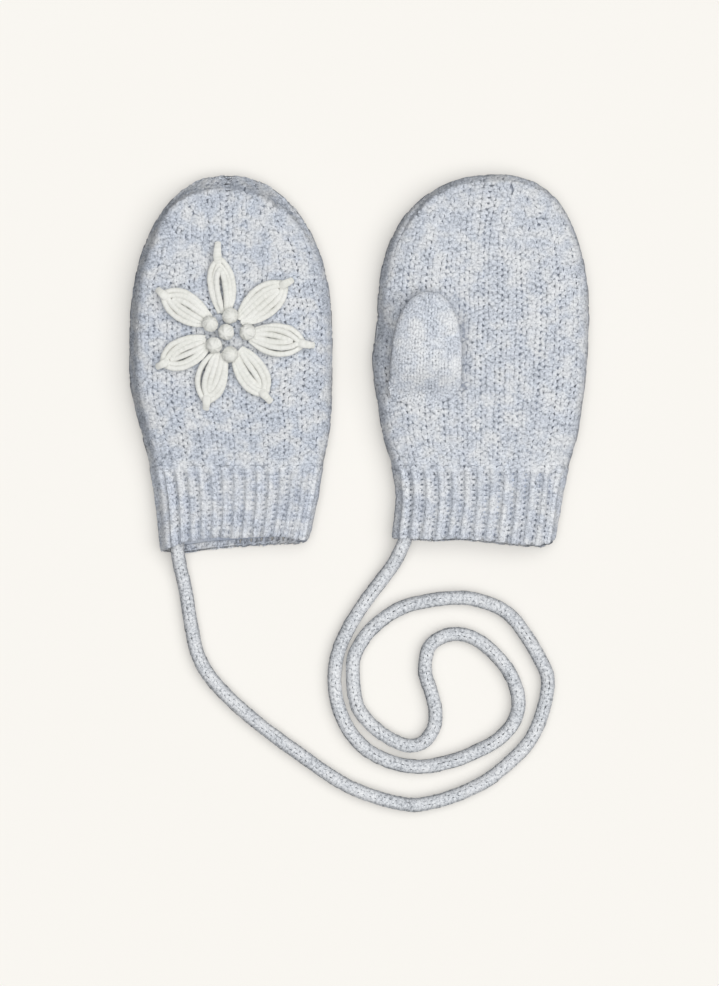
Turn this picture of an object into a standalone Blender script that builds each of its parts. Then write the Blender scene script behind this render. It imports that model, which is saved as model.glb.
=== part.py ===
"""A pair of toddler's knitted mittens joined by a knitted cord, laid out flat.

The flower mitten lies back up on the left, the plain mitten lies palm up on the
right.  +X runs across the pair, +Y towards the fingertips, and +Z up from the
surface that the pair lies on.  The origin is the middle of the two mittens'
footprint, on that surface.  All lengths are in metres.
"""
import math

import bmesh
import bpy
import numpy as np

COLLECTION = "knitted_mittens_on_a_cord"

# ------------------------------------------------------------ cloth and clearances
WALL = 0.0023            # knitted wall of the hand
SEAM_GAP = 0.0003        # between two pieces that are sewn together
MERGE = 1e-6             # points of a closed form that fall together

# ------------------------------------------------------------ the section of a hand
SEAM_HEIGHT = 0.0062     # the side seams run this high above the surface
FLAT_SHARE = 1.12        # how far past the surface the underside would bulge
TIP_ROUND = 2.5          # how bluntly the fingertips close, seen from the side
CUFF_TOP = -0.0420       # where the hand is knitted on to the cuff

# Each hand below its widest place, down to the hem: the place along the mitten,
# the reach to the left and to the right of its middle line, the height of its
# upper side, how far the upper layer's left edge lies inwards, how sharply it is
# folded there, and how full the rest of the section is (for both of these 2 is an
# ellipse, and more is fuller at the edges).
#               along     left     right    top      lean    fold  power
FLOWER_SECTIONS = (
    (0.0112, 0.0405, 0.0407, 0.0168, 0.0058, 5.0, 2.5),
    (-0.0084, 0.0401, 0.0403, 0.0168, 0.0056, 5.0, 2.5),
    (-0.0276, 0.0361, 0.0391, 0.0150, 0.0048, 5.0, 2.6),
    (-0.0404, 0.0329, 0.0367, 0.0130, 0.0034, 5.0, 3.2),
    (-0.0564, 0.0301, 0.0339, 0.0128, 0.0028, 5.0, 3.4),
    (-0.0740, 0.0281, 0.0302, 0.0128, 0.0024, 5.0, 3.4),
)
PLAIN_SECTIONS = (
    (0.0172, 0.0420, 0.0428, 0.0160, 0.0040, 4.5, 2.5),
    (0.0012, 0.0440, 0.0420, 0.0162, 0.0050, 4.5, 2.5),
    (-0.0180, 0.0418, 0.0398, 0.0156, 0.0040, 4.5, 2.5),
    (-0.0308, 0.0396, 0.0376, 0.0144, 0.0028, 4.0, 2.7),
    (-0.0404, 0.0366, 0.0344, 0.0130, 0.0028, 4.5, 3.2),
    (-0.0532, 0.0350, 0.0320, 0.0128, 0.0030, 5.0, 3.4),
    (-0.0732, 0.0362, 0.0290, 0.0128, 0.0028, 5.0, 3.4),
)

# The two edges of each hem: the place across, from -1 at the left side to 1 at
# the right, then the edge of the upper layer and of the layer underneath.
#               across   upper    lower
FLOWER_HEM = (
    (-1.0, -0.0742, -0.0748),
    (-0.7, -0.0730, -0.0764),
    (-0.3, -0.0697, -0.0740),
    (0.5, -0.0692, -0.0732),
    (0.88, -0.0706, -0.0727),
    (1.0, -0.0694, -0.0698),
)
PLAIN_HEM = (
    (-1.0, -0.0690, -0.0690),
    (-0.5, -0.0712, -0.0704),
    (0.2, -0.0719, -0.0706),
    (0.7, -0.0734, -0.0712),
    (0.90, -0.0732, -0.0714),
    (1.0, -0.0702, -0.0698),
)

FLOWER_MITTEN = {
    "name": "flower_mitten",
    "upper": "back",
    "under": "palm",
    "middle": -0.0515,       # the mitten's middle line, across the pair
    "widest": 0.0112,
    "tip": 0.0758,
    "tip_shift": -0.0004,    # the fingertips point this far to the right
    "dome_power": 2.0,
    "sections": FLOWER_SECTIONS,
    "hem": FLOWER_HEM,
    "ribs": 19,
}
PLAIN_MITTEN = {
    "name": "plain_mitten",
    "upper": "palm",
    "under": "back",
    "middle": 0.0492,
    "widest": 0.0172,
    "tip": 0.0762,
    "tip_shift": 0.0024,
    "dome_power": 2.2,
    "sections": PLAIN_SECTIONS,
    "hem": PLAIN_HEM,
    "ribs": 17,
}
HAND_FACETS = 16         # facets over one layer, from seam to seam
HAND_LOW_ROWS = 9        # rows of facets from the cuff to the widest place
HAND_DOME_ROWS = 9       # and from there to the fingertips
EDGE_ROUND = 0.0006      # a layer's edge at the cuff stands out by this much
PINCH_SHARE = 0.18       # depth of the gathered dimple in the flower mitten's fingertips
PINCH_WIDTH = 0.0035
PINCH_PLACE = 0.0720

# ------------------------------------------------------------ ribbed cuff
CUFF_WALL = 0.0017       # in the furrows between the ribs
RIB_HEIGHT = 0.0010
RIB_START = 0.205        # share of the way round, from under the middle, free of ribs
RIB_PROFILE = ((-0.42, 0.0), (-0.22, 1.0), (0.22, 1.0), (0.42, 0.0))
UNDER_FACETS = 10        # facets under the cuff, where it lies flat
CUFF_ROWS = 2
SECTION_SAMPLES = 361    # points measured round a section
FACING_STEP = 0.01       # share of the way round over which its facing is measured

# ------------------------------------------------------------ thumb pouches
THUMB_WALL = 0.0021
THUMB_HALF = 0.0139
THUMB_BASE = -0.0160
THUMB_DOME = -0.0020     # the thumb's sides round in from here
THUMB_TIP = 0.0284
THUMB_POWER = 2.3
THUMB_SLANT = 0.0090     # its mouth faces the palm: the near layer ends sooner
THUMB_RISE = 0.0110      # length over which the pouch rises to its full height
THUMB_SEAM = 0.45        # share of its height at which its sides are widest
THUMB_CORNER = 0.0090    # its mouth's inner corner is rounded over this length
THUMB_CORNER_CUT = 0.34  # and takes this share off the half width there
THUMB_FACETS = 16
THUMB_ROWS = 8
THUMB_GAP = 0.0005       # between the pouch and the palm that it lies against

TOP_THUMB = {
    "name": "plain_mitten_thumb",
    "base_x": 0.0246,
    "tip_x": 0.0272,
    "mouth": 0.0024,     # height of its upper layer at the mouth
    "height": 0.0074,
    "far_side": 1,       # the layer away from the palm is the upper one
}
UNDER_THUMB = {
    "name": "flower_mitten_thumb",
    "base_x": -0.0720,
    "tip_x": -0.0696,
    "mouth": 0.0054,
    "height": 0.0054,
    "far_side": -1,      # the layer away from the palm is the one underneath
}

# The flower mitten's palm arches over the thumb that is folded under it.
ARCH_HEIGHT = 0.0062
ARCH_HALF = (0.0165, 0.0255)
ARCH_MIDDLE = (-0.0708, 0.0062)
ARCH_FADE = 0.40         # share of that half size over which the arch comes down
ARCH_POWER = 3.5

# ------------------------------------------------------------ embroidered flower
FLOWER_CENTRE = (-0.0528, 0.0120)
# Each petal's direction, in degrees from +X, how far from the flower's centre its
# root clears the knots, and the reach of its tip.
#   direction  root    reach   half width
PETALS = (
    (96.0, 0.0098, 0.0324, 0.0056),
    (39.5, 0.0080, 0.0328, 0.0060),
    (-8.0, 0.0120, 0.0328, 0.0062),
    (-58.0, 0.0106, 0.0312, 0.0062),
    (-106.0, 0.0106, 0.0304, 0.0062),
    (-154.0, 0.0100, 0.0300, 0.0060),
    (148.5, 0.0108, 0.0316, 0.0058),
)
PETAL_STATIONS = 9
PETAL_HEIGHT = 0.0027
PETAL_ROOT_HEIGHT = 0.0012   # beside the knots the loops are pulled flat
PETAL_RISE = 0.35            # share of its length over which it rises from there
PETAL_SWELL = 1.25           # above 1 it is widest nearer its tip than its root
PETAL_FULLNESS = 0.8         # below 1 its sides are fuller than a sine
PETAL_BLUNT = 0.35           # how bluntly its thickness ends at root and tip
STITCHED_GAP = 0.0003        # between the flower's yarn and the back it is sewn to
# Across a petal: from edge to edge over two yarn ridges and the slit, and back.
PETAL_PROFILE = ((-1.0, 0.0), (-0.78, 0.75), (-0.42, 1.0), (0.0, 0.42),
                 (0.42, 1.0), (0.78, 0.75), (1.0, 0.0), (0.0, 0.0))
# Each knot's direction and distance from the flower's centre.
#  direction  distance
KNOTS = (
    (0.0, 0.0),
    (76.0, 0.0067),
    (153.0, 0.0072),
    (0.0, 0.0084),
    (-133.0, 0.0071),
    (-80.0, 0.0090),
)
KNOT_RADIUS = 0.0031
KNOT_HEIGHT = 0.0048

# ------------------------------------------------------------ knitted cord
CORD_DIAMETER = 0.0062
CORD_POINTS = 80
CORD_SAMPLES = 24        # points read between two route points
# The cord's centre line, from inside one cuff to inside the other.
CORD_ROUTE = (
    (-0.0728, -0.0690, 0.0063), (-0.0729, -0.0730, 0.0063), (-0.0727, -0.0772, 0.0057),
    (-0.0718, -0.0824, 0.0040), (-0.0706, -0.0876, 0.0032), (-0.0694, -0.0936, 0.0032),
    (-0.0678, -0.1040, 0.0032), (-0.0646, -0.1180, 0.0032), (-0.0574, -0.1292, 0.0032),
    (-0.0440, -0.1420, 0.0032), (-0.0244, -0.1568, 0.0032), (-0.0036, -0.1704, 0.0032),
    (0.0176, -0.1772, 0.0032), (0.0300, -0.1764, 0.0032), (0.0426, -0.1722, 0.0032),
    (0.0550, -0.1652, 0.0032), (0.0696, -0.1504, 0.0032), (0.0760, -0.1300, 0.0032),
    (0.0724, -0.1180, 0.0032), (0.0612, -0.1016, 0.0032), (0.0496, -0.0956, 0.0032),
    (0.0396, -0.0942, 0.0032), (0.0270, -0.0956, 0.0032), (0.0160, -0.0988, 0.0032),
    (0.0064, -0.1054, 0.0032), (0.0004, -0.1130, 0.0032), (-0.0024, -0.1208, 0.0032),
    (-0.0012, -0.1360, 0.0032), (0.0040, -0.1444, 0.0032), (0.0116, -0.1504, 0.0032),
    (0.0192, -0.1536, 0.0032), (0.0258, -0.1524, 0.0032), (0.0300, -0.1468, 0.0032),
    (0.0308, -0.1400, 0.0032), (0.0290, -0.1320, 0.0032), (0.0266, -0.1240, 0.0032),
    (0.0280, -0.1144, 0.0032), (0.0338, -0.1098, 0.0032), (0.0408, -0.1088, 0.0032),
    (0.0476, -0.1112, 0.0032), (0.0546, -0.1168, 0.0032), (0.0604, -0.1240, 0.0032),
    (0.0636, -0.1316, 0.0032), (0.0640, -0.1392, 0.0032), (0.0610, -0.1462, 0.0032),
    (0.0546, -0.1522, 0.0032), (0.0458, -0.1568, 0.0032), (0.0366, -0.1602, 0.0032),
    (0.0254, -0.1622, 0.0032), (0.0144, -0.1608, 0.0032), (0.0040, -0.1560, 0.0032),
    (-0.0032, -0.1488, 0.0032), (-0.0078, -0.1396, 0.0032), (-0.0098, -0.1300, 0.0032),
    (-0.0094, -0.1204, 0.0032), (-0.0066, -0.1112, 0.0032), (-0.0004, -0.1000, 0.0032),
    (0.0062, -0.0908, 0.0032), (0.0108, -0.0848, 0.0035), (0.0144, -0.0796, 0.0044),
    (0.0170, -0.0744, 0.0057), (0.0188, -0.0700, 0.0063), (0.0200, -0.0664, 0.0063),
)

# ------------------------------------------------------------ colours
MATERIALS = {
    # name            colour              roughness
    "hand_knit": ((0.45, 0.51, 0.63), 0.95),
    "rib_knit": ((0.42, 0.48, 0.60), 0.95),
    "thumb_knit": ((0.50, 0.56, 0.68), 0.95),
    "cord_knit": ((0.40, 0.46, 0.58), 0.92),
    "cream_yarn": ((0.84, 0.83, 0.78), 0.90),
}


# ------------------------------------------------------------ general helpers
def clear_scene():
    """Remove what the start-up file holds."""
    for thing in list(bpy.data.objects):
        bpy.data.objects.remove(thing, do_unlink=True)


def make_collection(name):
    """The collection that holds the mittens."""
    collection = bpy.data.collections.new(name)
    bpy.context.scene.collection.children.link(collection)
    return collection


def make_material(name):
    """Plain matt wool in one colour."""
    colour, roughness = MATERIALS[name]
    material = bpy.data.materials.new(name)
    material.use_nodes = True
    shader = material.node_tree.nodes["Principled BSDF"]
    shader.inputs["Base Color"].default_value = (*colour, 1.0)
    shader.inputs["Roughness"].default_value = roughness
    shader.inputs["Metallic"].default_value = 0.0
    return material


def smooth_row(table, at):
    """Read a table between its rows, on a smooth curve through each column."""
    rows = np.array(sorted(table))
    places = rows[:, 0]
    values = rows[:, 1:]
    at = min(max(at, places[0]), places[-1])
    slopes = np.gradient(values, places, axis=0)
    i = min(int(np.searchsorted(places, at, side="right")) - 1, len(rows) - 2)
    step = places[i + 1] - places[i]
    f = (at - places[i]) / step
    start = (2 * f**3 - 3 * f**2 + 1) * values[i] + (f**3 - 2 * f**2 + f) * step * slopes[i]
    end = (3 * f**2 - 2 * f**3) * values[i + 1] + (f**3 - f**2) * step * slopes[i + 1]
    return start + end


def ease(share):
    """Rise smoothly from 0 to 1 as the share does."""
    share = min(max(share, 0.0), 1.0)
    return share * share * (3 - 2 * share)


def mapped_grid(columns, rows, place):
    """A grid of facets with every corner put at place(column, row)."""
    mesh = bmesh.new()
    bmesh.ops.create_grid(mesh, x_segments=columns, y_segments=rows, size=1.0)
    for corner in mesh.verts:
        column = round((corner.co.x + 1) / 2 * columns)
        row = round((corner.co.y + 1) / 2 * rows)
        corner.co = place(column, row)
    bmesh.ops.remove_doubles(mesh, verts=mesh.verts, dist=MERGE)
    strays = [edge for edge in mesh.edges if edge.is_wire]
    bmesh.ops.delete(mesh, geom=strays, context="EDGES")
    return mesh


def finish_object(name, mesh, material, collection):
    """Turn a mesh under construction into a named object of the collection."""
    data = bpy.data.meshes.new(name)
    mesh.to_mesh(data)
    mesh.free()
    data.materials.append(material)
    data.shade_smooth()
    thing = bpy.data.objects.new(name, data)
    collection.objects.link(thing)
    return thing


# ------------------------------------------------------------ the mitten's form
def dome(along, start, tip, power):
    """How far the width and the height have closed in a rounded tip: 1 before it
    starts, 0 at its end."""
    t = min(max((along - start) / (tip - start), 0.0), 1.0)
    return (1 - t**power) ** (1 / power), (1 - t**TIP_ROUND) ** (1 / TIP_ROUND)


def sizes_at(mitten, along, inset=0.0):
    """Middle line, half width, top, lean, fold, power and closing of a section."""
    left, right, top, lean, fold, power = smooth_row(mitten["sections"], along)
    tip = mitten["tip"] - inset
    narrow, closing = dome(along, mitten["widest"], tip, mitten["dome_power"])
    share = max(along - mitten["widest"], 0.0) / (tip - mitten["widest"])
    middle = mitten["middle"] + mitten["tip_shift"] * share**4 + (right - left) / 2 * narrow
    half = ((left + right) / 2 - inset) * narrow
    return middle, half, top - inset, lean, fold, power, closing


def arch_over_thumb(mitten, x, y):
    """How far the flower mitten's palm is raised by the thumb under it."""
    if mitten is not FLOWER_MITTEN:
        return 0.0
    dx = abs(x - ARCH_MIDDLE[0]) / ARCH_HALF[0]
    dy = abs(y - ARCH_MIDDLE[1]) / ARCH_HALF[1]
    distance = (dx**ARCH_POWER + dy**ARCH_POWER) ** (1 / ARCH_POWER)
    return ARCH_HEIGHT * (1 - ease((distance - 1) / ARCH_FADE))


def pinch_at_tip(mitten, x, y):
    """Share of the height that is left in the gathered dimple near the flower
    mitten's fingertips."""
    if mitten is not FLOWER_MITTEN:
        return 1.0
    across = (x - mitten["middle"]) / PINCH_WIDTH
    along = (y - PINCH_PLACE) / (2 * PINCH_WIDTH)
    return 1 - PINCH_SHARE * math.exp(-across**2 - along**2)


def upper_height(mitten, x, y):
    """Height of the mitten's upper side over a place in its outline."""
    middle, half, top, lean, fold, power, closing = sizes_at(mitten, y)
    across = (x - middle) / half
    rise = 1.0
    for _ in range(4):
        leaned = (x - lean * rise * (1 - across) / 2 - middle) / half
        across = min(max(leaned, -1.0), 1.0)
        bend = fold if across < 0 else power
        rise = (1 - abs(across) ** bend) ** (1 / bend)
    return SEAM_HEIGHT + (top - SEAM_HEIGHT) * rise * closing * pinch_at_tip(mitten, x, y)


def around_section(angle, power):
    """How far across a full flattened section an angle lies, from -1 to 1, and
    how far up or down from its sides, from 0 to 1."""
    across = math.copysign(abs(math.cos(angle)) ** (2 / power), math.cos(angle))
    return across, abs(math.sin(angle)) ** (2 / power)


def hand_point(mitten, along, angle, inset=0.0):
    """A point of the outer side, or of the inner one with the wall as the inset.
    The angle goes from the right side (0) over the upper layer to the left side
    (pi), and back underneath."""
    middle, half, top, lean, fold, power, closing = sizes_at(mitten, along, inset)
    folded = math.cos(angle) < 0 < math.sin(angle)
    across, rise = around_section(angle, fold if folded else power)
    x = middle + half * across
    if math.sin(angle) >= 0:
        x += lean * rise * closing * (1 - across) / 2
        z = SEAM_HEIGHT + (top - SEAM_HEIGHT) * rise * closing * pinch_at_tip(mitten, x, along)
    else:
        sunk = min(FLAT_SHARE * rise * closing, 1.0)
        z = SEAM_HEIGHT * (1 - sunk) + inset * sunk + arch_over_thumb(mitten, x, along) * sunk**2
    return np.array((x, along, z))


def hand_rows(mitten, inset):
    """Places along the hand of its rows of points, closer towards the fingertips."""
    start = CUFF_TOP + SEAM_GAP / 2 + EDGE_ROUND
    low = np.linspace(start, mitten["widest"], HAND_LOW_ROWS + 1)
    turn = np.linspace(0, math.pi / 2, HAND_DOME_ROWS + 1)[1:]
    dome_rows = mitten["widest"] + (mitten["tip"] - inset - mitten["widest"]) * np.sin(turn)
    return [*low, *dome_rows]


def make_hand_layer(mitten, upper, material, collection):
    """The back or the palm: a wall from one side seam to the other.  Its section
    is a loop, out over the outer side and back along the inner one."""
    outer_rows = hand_rows(mitten, 0.0)
    inner_rows = hand_rows(mitten, WALL)
    per_side = HAND_FACETS + 1
    seam_shift = np.array((0.0, 0.0, SEAM_GAP / 2 if upper else -SEAM_GAP / 2))

    def layer_point(row, column, inner):
        angle = math.pi * column / HAND_FACETS
        along = (inner_rows if inner else outer_rows)[row]
        inset = WALL if inner else 0.0
        point = hand_point(mitten, along, math.pi - angle if upper else -angle, inset)
        edge = column in (0, HAND_FACETS) or row == len(outer_rows) - 1
        return point + seam_shift if edge else point

    def place(column, row):
        column %= 2 * per_side
        inner = column >= per_side
        column = 2 * per_side - 1 - column if inner else column
        if row == 0:
            middle = (layer_point(0, column, False) + layer_point(0, column, True)) / 2
            return middle - np.array((0.0, EDGE_ROUND, 0.0))
        return layer_point(row - 1, column, inner)

    mesh = mapped_grid(2 * per_side, len(outer_rows), place)
    name = mitten["name"] + "_" + mitten["upper" if upper else "under"]
    return finish_object(name, mesh, material, collection)


# ------------------------------------------------------------ cuff
def even_section(mitten, along, shares):
    """Points of a section and its outward directions, at shares of the way round
    from under the middle, up the left side and over to the right."""
    angles = np.linspace(1.5 * math.pi, -0.5 * math.pi, SECTION_SAMPLES)
    loop = np.array([hand_point(mitten, along, angle) for angle in angles])
    steps = np.linalg.norm(np.diff(loop, axis=0), axis=1)
    reached = np.concatenate(([0.0], np.cumsum(steps)))
    reached /= reached[-1]
    shares = np.array(shares)

    def read(at):
        return np.stack([np.interp(at % 1, reached, loop[:, k]) for k in range(3)], axis=1)

    run = read(shares + FACING_STEP) - read(shares - FACING_STEP)
    outward = np.stack((-run[:, 2], np.zeros(len(shares)), run[:, 0]), axis=1)
    return read(shares), outward / np.linalg.norm(outward, axis=1)[:, None]


def rib_columns(mitten):
    """Where the cuff's columns of points stand round it, and how far each is raised."""
    pitch = (1 - 2 * RIB_START) / mitten["ribs"]
    columns = []
    for rib in range(mitten["ribs"]):
        centre = RIB_START + (rib + 0.5) * pitch
        columns += [(centre + offset * pitch, raised) for offset, raised in RIB_PROFILE]
    under = np.linspace(-RIB_START, RIB_START, UNDER_FACETS + 1)
    columns += [(share % 1, 0.0) for share in under]
    return sorted(columns)


def hem_place(mitten, point, along):
    """Move a point of the lowest section to the hem's edge."""
    middle, half, top = sizes_at(mitten, along)[:3]
    upper, lower = smooth_row(mitten["hem"], (point[0] - middle) / half)
    share = ease(point[2] / top)
    return lower + (upper - lower) * share


def make_cuff(mitten, material, collection):
    """The ribbed cuff: a tube, raised in ribs outside and plain inside."""
    columns = rib_columns(mitten)
    shares = [share for share, _ in columns]
    raised = np.array([height for _, height in columns])
    top = CUFF_TOP - SEAM_GAP / 2
    low = mitten["sections"][-1][0]
    outer, inner = [], []
    for row in range(CUFF_ROWS + 1):
        share = row / CUFF_ROWS
        points, outward = even_section(mitten, low + (top - low) * share, shares)
        for point in points:
            point[1] = hem_place(mitten, point, low) * (1 - share) + top * share
        outer.append(points + outward * (raised * RIB_HEIGHT)[:, None])
        inner.append(points - outward * CUFF_WALL)
    wall_loop = outer + inner[::-1]

    def place(column, row):
        return wall_loop[row % len(wall_loop)][column % len(columns)]

    mesh = mapped_grid(len(columns), len(wall_loop), place)
    return finish_object(mitten["name"] + "_cuff", mesh, material, collection)


# ------------------------------------------------------------ thumb
def thumb_point(thumb, along, angle, inset=0.0):
    """A point of a thumb pouch's outer or inner side, and its height over its bed."""
    back = (1 - thumb["far_side"] * math.sin(angle)) / 2
    along += THUMB_SLANT * back * ((THUMB_TIP - inset - along) / (THUMB_TIP - inset - THUMB_BASE)) ** 2
    narrow, closing = dome(along, THUMB_DOME, THUMB_TIP - inset, THUMB_POWER)
    risen = ease((along - THUMB_BASE) / THUMB_RISE)
    high = thumb["mouth"] + (thumb["height"] - thumb["mouth"]) * risen
    seam = high * THUMB_SEAM
    across, rise = around_section(angle, THUMB_POWER)
    leaning = (thumb["tip_x"] - thumb["base_x"]) / (THUMB_TIP - THUMB_BASE)
    middle = thumb["base_x"] + leaning * (along - THUMB_BASE)
    if across > 0:
        short = max(1 - (along - THUMB_BASE) / THUMB_CORNER, 0.0)
        narrow *= 1 - THUMB_CORNER_CUT * short**2
    x = middle + (THUMB_HALF - inset) * narrow * across
    if math.sin(angle) >= 0:
        height = seam + (high - inset - seam) * rise * closing
    else:
        sunk = min(FLAT_SHARE * rise * closing, 1.0)
        height = seam * (1 - sunk) + inset * sunk
    return x, along, height


def make_thumb(thumb, material, collection):
    """A thumb pouch, on the palm of one mitten or under the palm of the other."""

    def place(column, row):
        inner = row > THUMB_ROWS
        row = (2 * THUMB_ROWS + 1 - row if inner else row) % (2 * THUMB_ROWS + 2)
        if row == 2 * THUMB_ROWS + 1:
            row, inner = 0, False
        inset = THUMB_WALL if inner else 0.0
        angle = math.pi - 2 * math.pi * (column % THUMB_FACETS) / THUMB_FACETS
        reach = THUMB_TIP - inset - THUMB_BASE
        along = THUMB_BASE + reach * math.sin(row / THUMB_ROWS * math.pi / 2)
        x, y, height = thumb_point(thumb, along, angle, inset)
        bed = upper_height(PLAIN_MITTEN, x, y) + THUMB_GAP if thumb is TOP_THUMB else 0.0
        return x, y, bed + height

    mesh = mapped_grid(THUMB_FACETS, 2 * THUMB_ROWS + 2, place)
    return finish_object(thumb["name"], mesh, material, collection)


# ------------------------------------------------------------ flower
def on_back(distance, sideways, direction):
    """A place on the flower mitten's back, out from the flower's centre."""
    turn = math.radians(direction)
    x = FLOWER_CENTRE[0] + distance * math.cos(turn) - sideways * math.sin(turn)
    y = FLOWER_CENTRE[1] + distance * math.sin(turn) + sideways * math.cos(turn)
    return x, y, upper_height(FLOWER_MITTEN, x, y)


def make_petal(number, direction, root, reach, half_width, material, collection):
    """One petal of long yarn loops, with a slit along its middle."""

    def place(column, row):
        sideways, raised = PETAL_PROFILE[-column % len(PETAL_PROFILE)]
        along = row / PETAL_STATIONS
        wide = half_width * abs(math.sin(math.pi * along**PETAL_SWELL)) ** PETAL_FULLNESS
        risen = ease(along / PETAL_RISE)
        thick = PETAL_ROOT_HEIGHT + (PETAL_HEIGHT - PETAL_ROOT_HEIGHT) * risen
        thick *= abs(math.sin(math.pi * along)) ** PETAL_BLUNT
        distance = root + (reach - root) * along
        x, y, z = on_back(distance, sideways * wide, direction)
        return x, y, z + STITCHED_GAP + raised * thick

    mesh = mapped_grid(len(PETAL_PROFILE), PETAL_STATIONS, place)
    return finish_object(f"flower_petal_{number}", mesh, material, collection)


def make_knot(number, direction, distance, material, collection):
    """One wound knot at the middle of the flower."""
    x, y, z = on_back(distance, 0.0, direction)
    mesh = bmesh.new()
    bmesh.ops.create_icosphere(mesh, subdivisions=2, radius=1.0)
    for corner in mesh.verts:
        corner.co.x *= KNOT_RADIUS
        corner.co.y *= KNOT_RADIUS
        corner.co.z *= KNOT_HEIGHT / 2
    knot = finish_object(f"flower_knot_{number}", mesh, material, collection)
    knot.location = (x, y, z + STITCHED_GAP + KNOT_HEIGHT / 2)
    return knot


# ------------------------------------------------------------ cord
def cord_points():
    """The cord's centre line, evenly spaced on a smooth curve through its route."""
    route = np.array(CORD_ROUTE)
    slopes = np.gradient(route, axis=0)
    fine = []
    for i in range(len(route) - 1):
        for f in np.arange(CORD_SAMPLES) / CORD_SAMPLES:
            start = (2 * f**3 - 3 * f**2 + 1) * route[i] + (f**3 - 2 * f**2 + f) * slopes[i]
            end = (3 * f**2 - 2 * f**3) * route[i + 1] + (f**3 - f**2) * slopes[i + 1]
            fine.append(start + end)
    fine = np.array([*fine, route[-1]])
    reached = np.concatenate(([0.0], np.cumsum(np.linalg.norm(np.diff(fine, axis=0), axis=1))))
    even = np.linspace(0, reached[-1], CORD_POINTS)
    return np.stack([np.interp(even, reached, fine[:, k]) for k in range(3)], axis=1)


def make_cord(material, collection):
    """One round cord along its whole route."""
    curve = bpy.data.curves.new("cord", "CURVE")
    curve.dimensions = "3D"
    curve.bevel_depth = CORD_DIAMETER / 2
    curve.bevel_resolution = 3
    curve.use_fill_caps = True
    points = cord_points()
    line = curve.splines.new("POLY")
    line.points.add(len(points) - 1)
    for target, point in zip(line.points, points):
        target.co = (*point, 1.0)
    curve.materials.append(material)
    cord = bpy.data.objects.new("cord", curve)
    collection.objects.link(cord)
    return cord


def main():
    clear_scene()
    collection = make_collection(COLLECTION)
    wool = {name: make_material(name) for name in MATERIALS}
    for mitten in (FLOWER_MITTEN, PLAIN_MITTEN):
        make_hand_layer(mitten, True, wool["hand_knit"], collection)
        make_hand_layer(mitten, False, wool["hand_knit"], collection)
        make_cuff(mitten, wool["rib_knit"], collection)
    make_thumb(TOP_THUMB, wool["thumb_knit"], collection)
    make_thumb(UNDER_THUMB, wool["thumb_knit"], collection)
    for number, petal in enumerate(PETALS, start=1):
        make_petal(number, *petal, wool["cream_yarn"], collection)
    for number, (direction, distance) in enumerate(KNOTS, start=1):
        make_knot(number, direction, distance, wool["cream_yarn"], collection)
    make_cord(wool["cord_knit"], collection)


main()
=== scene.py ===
# %% [markdown]
# # A pair of child's mittens on a cord
# Two small mittens are knitted from a soft wool that is spun from white, light
# blue and periwinkle fibres.  A knitted cord joins them, and the left one has a
# flower of thick cream wool.  They lie flat on a pale surface, seen from above.
#
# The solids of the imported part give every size.  This script replaces them with
# the knitting itself: each stitch is a loop of yarn on the same surface.

# %% The frame
import math

import bmesh
import bpy
import numpy as np
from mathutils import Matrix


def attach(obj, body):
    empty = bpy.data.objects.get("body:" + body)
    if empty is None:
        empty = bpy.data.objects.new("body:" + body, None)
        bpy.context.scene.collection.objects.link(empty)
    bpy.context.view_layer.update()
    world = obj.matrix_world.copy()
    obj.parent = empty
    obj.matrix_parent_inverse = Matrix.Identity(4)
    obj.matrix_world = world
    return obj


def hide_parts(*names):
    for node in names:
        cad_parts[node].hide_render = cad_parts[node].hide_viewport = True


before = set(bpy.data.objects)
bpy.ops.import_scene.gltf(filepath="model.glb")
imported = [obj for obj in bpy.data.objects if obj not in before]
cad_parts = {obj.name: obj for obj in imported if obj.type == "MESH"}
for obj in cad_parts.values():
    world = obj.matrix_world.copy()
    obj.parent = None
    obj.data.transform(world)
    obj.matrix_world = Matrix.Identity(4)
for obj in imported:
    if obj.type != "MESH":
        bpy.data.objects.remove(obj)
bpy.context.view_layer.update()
bpy.ops.object.select_all(action="DESELECT")
rng = np.random.default_rng(11)

# %% [markdown]
# ## The camera
# The photograph looks straight down.  A long lens from over a metre away shows
# almost no perspective, so the sides of the mittens stay thin dark lines.

# %% Camera
PIXEL = 0.0004                     # what one pixel of the photograph covers
PICTURE_HEIGHT = 986               # in pixels
VIEW_MIDDLE = (0.0002, -0.0520)    # the place under the middle of the picture
CLOTH_HEIGHT = 0.0120              # the height at which that scale holds
CAMERA_DISTANCE = 1.3

bpy.ops.object.camera_add(location=(*VIEW_MIDDLE, CLOTH_HEIGHT + CAMERA_DISTANCE))
camera = bpy.context.object
camera.data.sensor_width = 36
camera.data.lens = CAMERA_DISTANCE * camera.data.sensor_width / (PICTURE_HEIGHT * PIXEL)
camera.data.clip_start = 0.1
bpy.context.scene.camera = camera
print("lens", round(camera.data.lens, 1), "mm")

# %% [markdown]
# ## Smooth curves
# Sizes stand in short tables and are read on smooth curves.  Between two rows of
# a table runs a cubic that has the right slope at both.

# %% Curves
def between(f, first, last, first_slope, last_slope):
    """A smooth way from the first value to the last, read at the share f of it."""
    start = (2 * f**3 - 3 * f**2 + 1) * first + (f**3 - 2 * f**2 + f) * first_slope
    end = (3 * f**2 - 2 * f**3) * last + (f**3 - f**2) * last_slope
    return start + end


def smooth_row(table, at):
    """Read a table between its rows, on a smooth curve through each column."""
    rows = np.array(sorted(table))
    places, values = rows[:, 0], rows[:, 1:]
    at = min(max(at, places[0]), places[-1])
    i = min(int(np.searchsorted(places, at, side="right")) - 1, len(rows) - 2)
    step = places[i + 1] - places[i]
    slopes = np.gradient(values, places, axis=0) * step
    return between((at - places[i]) / step, values[i], values[i + 1], slopes[i], slopes[i + 1])


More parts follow.
